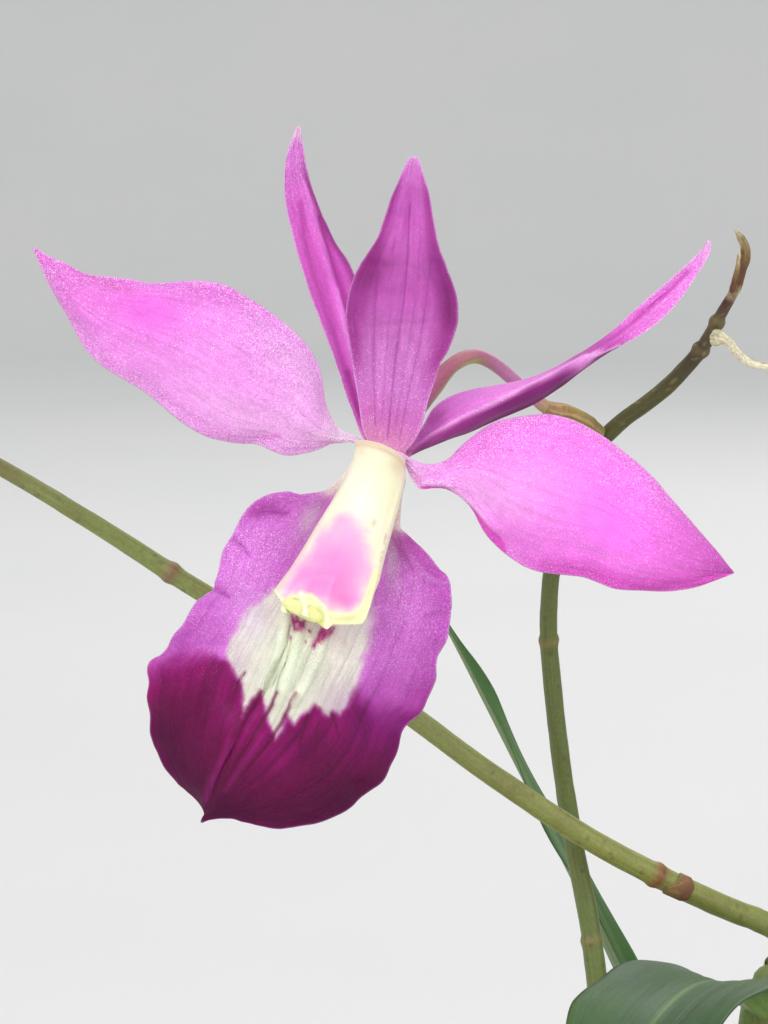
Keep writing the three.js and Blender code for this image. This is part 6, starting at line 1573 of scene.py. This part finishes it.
def pot_piece():
    from mathutils import Vector
    from mathutils.geometry import tessellate_polygon

    body_top = POT_HEIGHT - POT_RIM_BAND
    inner_top, inner_base = POT_RIM_R - POT_WALL, POT_BASE_R - POT_WALL
    prof = [(POT_BASE_R - 1.4, 0.0), (POT_BASE_R - 0.5, 0.25), (POT_BASE_R, 1.0)]
    prof += [(POT_BASE_R + (POT_BODY_R - POT_BASE_R) * t, 1 + (body_top - 1) * t) for t in np.linspace(0.02, 0.985, 46)]
    prof += [(POT_BODY_R + 0.1, body_top - 0.1), (POT_BODY_R + 1.2, body_top + 0.35), (POT_RIM_R - 0.8, body_top + 1.5), (POT_RIM_R - 0.15, body_top + 2.4), (POT_RIM_R, body_top + 3.2)]
    prof += [(POT_RIM_R, z) for z in np.linspace(body_top + 4, POT_HEIGHT - 2.9, 10)]
    prof += arc(POT_RIM_R - 2.3, POT_HEIGHT - 2.3, 2.3, 10, 100, 9)
    prof += [(inner_top + 1.2, POT_HEIGHT - 0.35), (inner_top + 0.35, POT_HEIGHT - 1.1), (inner_top, POT_HEIGHT - 2.2)]
    prof += [(inner_base + (inner_top - inner_base) * (z - POT_FLOOR) / (POT_HEIGHT - POT_FLOOR), z) for z in np.linspace(POT_HEIGHT - 5, POT_FLOOR + 1.2, 18)]
    prof += [(inner_base - 0.1, POT_FLOOR + 0.5), (inner_base - 1.0, POT_FLOOR)]
    prof = np.array(prof, float)
    n = 200
    a = np.linspace(0, 2 * np.pi, n, endpoint=False)
    r = np.repeat(prof[:, :1], n, 1)
    z = np.repeat(prof[:, 1:], n, 1)
    wall = smooth(0.5, 4, prof[:, 1])[:, None] * (np.arange(len(prof)) < len(prof) - 3)[:, None]
    r = r + wall * (0.12 * np.sin(prof[:, 1:] * 1.9 + 0.6 * np.sin(a)[None]) + 0.10 * noise2(np.cos(a)[None] * 2, np.sin(a)[None] * 2, 301, prof[:, 1:] / 14))
    z = z + 0.10 * noise2(np.cos(a)[None] * 1.5, np.sin(a)[None] * 1.5, 302) * smooth(74, 78, prof[:, 1:])
    # two small old chips in the rim
    for ca, cw, cd in ((2.4, 0.05, 0.9), (5.3, 0.035, 0.7)):
        hit = np.exp(-(((np.angle(np.exp(1j * (a[None] - ca)))) / cw) ** 2)) * smooth(75.6, 77.6, prof[:, 1:]) * smooth(50.2, 51.6, prof[:, :1])
        r, z = r - cd * hit, z - 0.6 * cd * hit
    co = [np.stack([r * np.cos(a), r * np.sin(a), z], -1).reshape(-1, 3)]
    m = len(prof)
    idx = np.arange(m * n).reshape(m, n)
    loop = np.concatenate([idx, idx[:, :1]], 1)
    faces4 = [quads(loop, True)]
    total = m * n
    hn = 40
    ha = np.linspace(0, 2 * np.pi, hn, endpoint=False)
    holes = []
    for i in range(4):
        b = math.pi / 4 + i * math.pi / 2
        cx, cy = DRAIN_AT * math.cos(b), DRAIN_AT * math.sin(b)
        rings = []
        for rr, zz in ((DRAIN_R + 0.5, 0.0), (DRAIN_R, 0.6), (DRAIN_R - 0.05, POT_FLOOR - 0.6), (DRAIN_R + 0.4, POT_FLOOR)):
            co.append(np.stack([cx + rr * np.cos(ha), cy + rr * np.sin(ha), np.full(hn, zz)], -1))
            rings.append(np.arange(total, total + hn))
            total += hn
        ring = np.array(rings)
        faces4.append(quads(np.concatenate([ring, ring[:, :1]], 1), False))
        holes.append((rings[0], rings[-1]))
    co = np.concatenate(co)
    tris = []
    for row, which, upward in ((0, 0, False), (m - 1, 1, True)):
        loops = [idx[row]] + [h[which] for h in holes]
        flat_ids = np.concatenate(loops)
        out = tessellate_polygon([[Vector((float(co[j][0]), float(co[j][1]), 0.0)) for j in lp] for lp in loops])
        t = flat_ids[np.array(out, int)]
        p = co[t]
        up = np.cross(p[:, 1] - p[:, 0], p[:, 2] - p[:, 0])[:, 2] > 0
        t[up != upward] = t[up != upward][:, ::-1]
        tris.append(t)
    ob = make("pot", co, [np.concatenate(faces4), np.concatenate(tris)], MAT["clay"], "clay", ["pot"])
    ob.data.set_sharp_from_angle(angle=math.radians(50))


pot_piece()


# ------------------------------------------------------------------ bark: loose chips over a rough bed
def bark_piece():
    rng = np.random.default_rng(7)
    inner = lambda z: 31 + (48 - 31) * (z - POT_FLOOR) / (POT_HEIGHT - POT_FLOOR)
    parts = Parts()
    # bed under the chips, painted dark as the shade in the gaps between them
    rr = np.concatenate([np.linspace(0.0, inner(58) - 1.0, 40)[1:]])
    a = np.linspace(0, 2 * np.pi, 120, endpoint=False)
    R, A = np.meshgrid(rr, a, indexing="ij")
    top = np.stack([R * np.cos(A), R * np.sin(A), 61.0 + 1.2 * noise2(R * np.cos(A) / 4, R * np.sin(A) / 4, 311)], -1)
    skirt = [np.stack([np.full(120, inner(z) - 1.0) * np.cos(a), np.full(120, inner(z) - 1.0) * np.sin(a), np.full(120, z)], -1) for z in (50.0, 30.0, 7.0)]
    rows = np.concatenate([top, np.array(skirt)])
    m = len(rows)
    idx = np.arange(m * 120).reshape(m, 120)
    loop = np.concatenate([idx, idx[:, :1]], 1)
    co = np.concatenate([rows.reshape(-1, 3), [[0, 0, 61.0]], [[0, 0, 7.0]]])
    f = [quads(loop, False), np.stack([np.full(120, m * 120), loop[0, :-1], loop[0, 1:]], -1), np.stack([np.full(120, m * 120 + 1), loop[-1, 1:], loop[-1, :-1]], -1)]
    parts.add(co, f, paint=base(co[:, 0], "33221a"), flow=co * 0.6)
    # a rounded block as the template of a chip
    n = 4
    g = np.linspace(-1, 1, n + 1)
    verts, index, fs = [], {}, []

    def vid(p):
        k = tuple(np.round(p, 5))
        if k not in index:
            index[k] = len(verts)
            verts.append(k)
        return index[k]

    for ax in range(3):
        for sgn in (-1, 1):
            for i in range(n):
                for j in range(n):
                    q = []
                    for di, dj in ((0, 0), (1, 0), (1, 1), (0, 1)):
                        p = [0, 0, 0]
                        p[ax], p[(ax + 1) % 3], p[(ax + 2) % 3] = sgn, g[i + di], g[j + dj]
                        q.append(vid(np.array(p)))
                    fs.append(q if sgn > 0 else q[::-1])
    tv, tf = np.array(verts, float), np.array(fs)
    cube = tv / np.maximum(np.linalg.norm(tv, axis=1, keepdims=True), 1e-9)
    tv = 0.72 * tv + 0.28 * cube * 1.25
    hues = ["6b4128", "7d4e30", "5a3521", "8a5a38", "70482f", "4c2e1e", "94663f", "63402b"]

    def chip(x, y, z, lx, ly, lz, yaw, pitch, roll, seed, hue):
        v = tv.copy()
        v[:, 1] *= 1 - 0.35 * rng.random() * (v[:, 0] > 0)
        v[:, 2] *= 1 - 0.4 * rng.random() * (v[:, 0] < 0)
        v[:, 0] += 0.25 * (rng.random() - 0.5) * v[:, 1]
        nz = noise(v * np.array([1.6, 2.3, 1.2]) + seed * 7.7, 321)
        nz2 = noise(v * np.array([1.2, 6.0, 4.0]) + seed * 3.1, 322)
        v = v * (1 + 0.16 * nz + 0.08 * nz2)[:, None]
        v = v * np.array([lx, ly, lz]) / 2
        cy_, sy_, cp, sp, cr, sr = math.cos(yaw), math.sin(yaw), math.cos(pitch), math.sin(pitch), math.cos(roll), math.sin(roll)
        rot = np.array([[cy_, -sy_, 0], [sy_, cy_, 0], [0, 0, 1]]) @ np.array([[cp, 0, sp], [0, 1, 0], [-sp, 0, cp]]) @ np.array([[1, 0, 0], [0, cr, -sr], [0, sr, cr]])
        w = v @ rot.T + np.array([x, y, z])
        layer = np.sin(v[:, 2] / 0.55 + 1.5 * nz)
        k = base(v[:, 0], hue)
        k = mix(k, C("a8764a"), 0.45 * smooth(0.3, 1.0, layer) * rng.random())
        k = mix(k, C("3b251a"), 0.5 * smooth(0.2, 0.8, -nz))
        k = mix(k, C("b99b74"), 0.35 * (rng.random() < 0.18) * smooth(0.0, 0.6, nz2))
        return w, k, v + seed * 3

    taken = 0
    for layer_z, count, spread in ((60.0, 170, 1.0), (63.4, 330, 1.0), (65.6, 250, 1.0)):
        for i in range(count):
            rad = math.sqrt((i + rng.random()) / count) * (inner(layer_z) - 2.2)
            ang = i * 2.399963 + rng.random() * 0.9
            lx, ly, lz = 5.5 + 7.5 * rng.random() ** 1.3, 3.6 + 4.2 * rng.random(), 2.0 + 2.0 * rng.random()
            near_wall = rad > inner(layer_z) - 9
            if near_wall:
                lx *= 0.75
                rad = min(rad, inner(layer_z) - 1.2 - 0.42 * max(lx, ly))
            x, y = rad * math.cos(ang), rad * math.sin(ang)
            z = layer_z + 1.6 * rng.random() - 1.3 * (rad / 46) ** 2
            w, k, fl = chip(x, y, z, lx, ly, lz, rng.random() * 6.28, (rng.random() - 0.5) * 0.9, (rng.random() - 0.5) * 0.9, taken, hues[int(rng.random() * len(hues))])
            reach = np.hypot(w[:, 0], w[:, 1]).max()
            limit = inner(z) - 0.5
            if reach > limit:
                w[:, :2] -= np.array([x, y]) / max(rad, 1e-6) * (reach - limit)
            if w[:, 2].max() > 69.0:
                w[:, 2] -= w[:, 2].max() - 69.0
            parts.add(w, tf, paint=k, flow=fl)
            taken += 1
    ob = parts.make("bark_mix", MAT["bark"], "bark", ["bark_mix"])
    ob.data.set_sharp_from_angle(angle=math.radians(38))


bark_piece()


# ------------------------------------------------------------------ floor, light and camera
def floor():
    prof = [(0.0, 0.0), (0.3, 0.0), (0.9, 0.0), (1.8, 0.0), (2.9, 0.0)]
    prof += [(2.9 + 1.6 * math.sin(t), 1.6 - 1.6 * math.cos(t)) for t in np.linspace(0.06, math.pi / 2, 26)]
    prof += [(4.5, 2.2), (4.5, 2.8)]
    prof = np.array(prof) * 1000
    n = 96
    a = np.linspace(0, 2 * np.pi, n, endpoint=False)
    co = np.stack([prof[:, :1] * np.cos(a), prof[:, :1] * np.sin(a), np.repeat(prof[:, 1:], n, 1)], -1)
    m = len(prof)
    idx = np.arange(m * n).reshape(m, n)
    loop = np.concatenate([idx, idx[:, :1]], 1)
    mat = Mat("backdrop", Roughness=0.9, Specular_IOR_Level=0.2)
    col = mat.mix(mat.map(mat.noise(mat.obj, 3.0, 3.0), 0.3, 0.7), hexlin("e5e5e2"), hexlin("e8e7e4"))
    ob = make("backdrop", co.reshape(-1, 3), [quads(loop, False)[n:], np.stack([loop[1, :-1] * 0, loop[1, :-1], loop[1, 1:]], -1)], mat.done(col), None)


floor()


def area(name, loc, target, size, power, colour=(1, 1, 1)):
    from mathutils import Vector

    lamp = bpy.data.lights.new(name, "AREA")
    lamp.shape, lamp.size, lamp.energy, lamp.color = "DISK", size, power, colour
    ob = bpy.data.objects.new(name, lamp)
    ob.location = loc
    ob.rotation_mode = "QUATERNION"
    ob.rotation_quaternion = (Vector(target) - Vector(loc)).to_track_quat("-Z", "Y")
    bpy.context.scene.collection.objects.link(ob)


area("key_light", (-0.75, -1.55, 1.25), (0, 0, 0.2), 1.1, 18.0, (1.0, 0.985, 0.965))
area("fill_light", (1.5, -1.1, 0.8), (0, 0, 0.2), 1.4, 7.2, (0.97, 0.985, 1.0))
area("top_light", (0.2, 0.3, 2.4), (0, 0, 0.15), 1.8, 8.0)
area("back_light", (0.6, 1.9, 1.3), (0, 0, 0.18), 1.2, 8.0)

world = bpy.data.worlds.new("studio")
world.use_nodes = True
world.node_tree.nodes["Background"].inputs[0].default_value = (0.93, 0.95, 1.0, 1)
world.node_tree.nodes["Background"].inputs[1].default_value = 0.74
bpy.context.scene.world = world

scene = bpy.context.scene
scene.view_settings.view_transform = "Standard"
scene.view_settings.look = "None"
cam = bpy.data.cameras.new("camera")
cam.lens, cam.sensor_width = 36 * 300 / 97.28, 36
cam.clip_start, cam.clip_end = 0.01, 60
cam_ob = bpy.data.objects.new("camera", cam)
cam_ob.location = EYE / 1000
cam_ob.rotation_euler = (math.pi / 2 - PITCH, 0, 0)
scene.collection.objects.link(cam_ob)
scene.camera = cam_ob
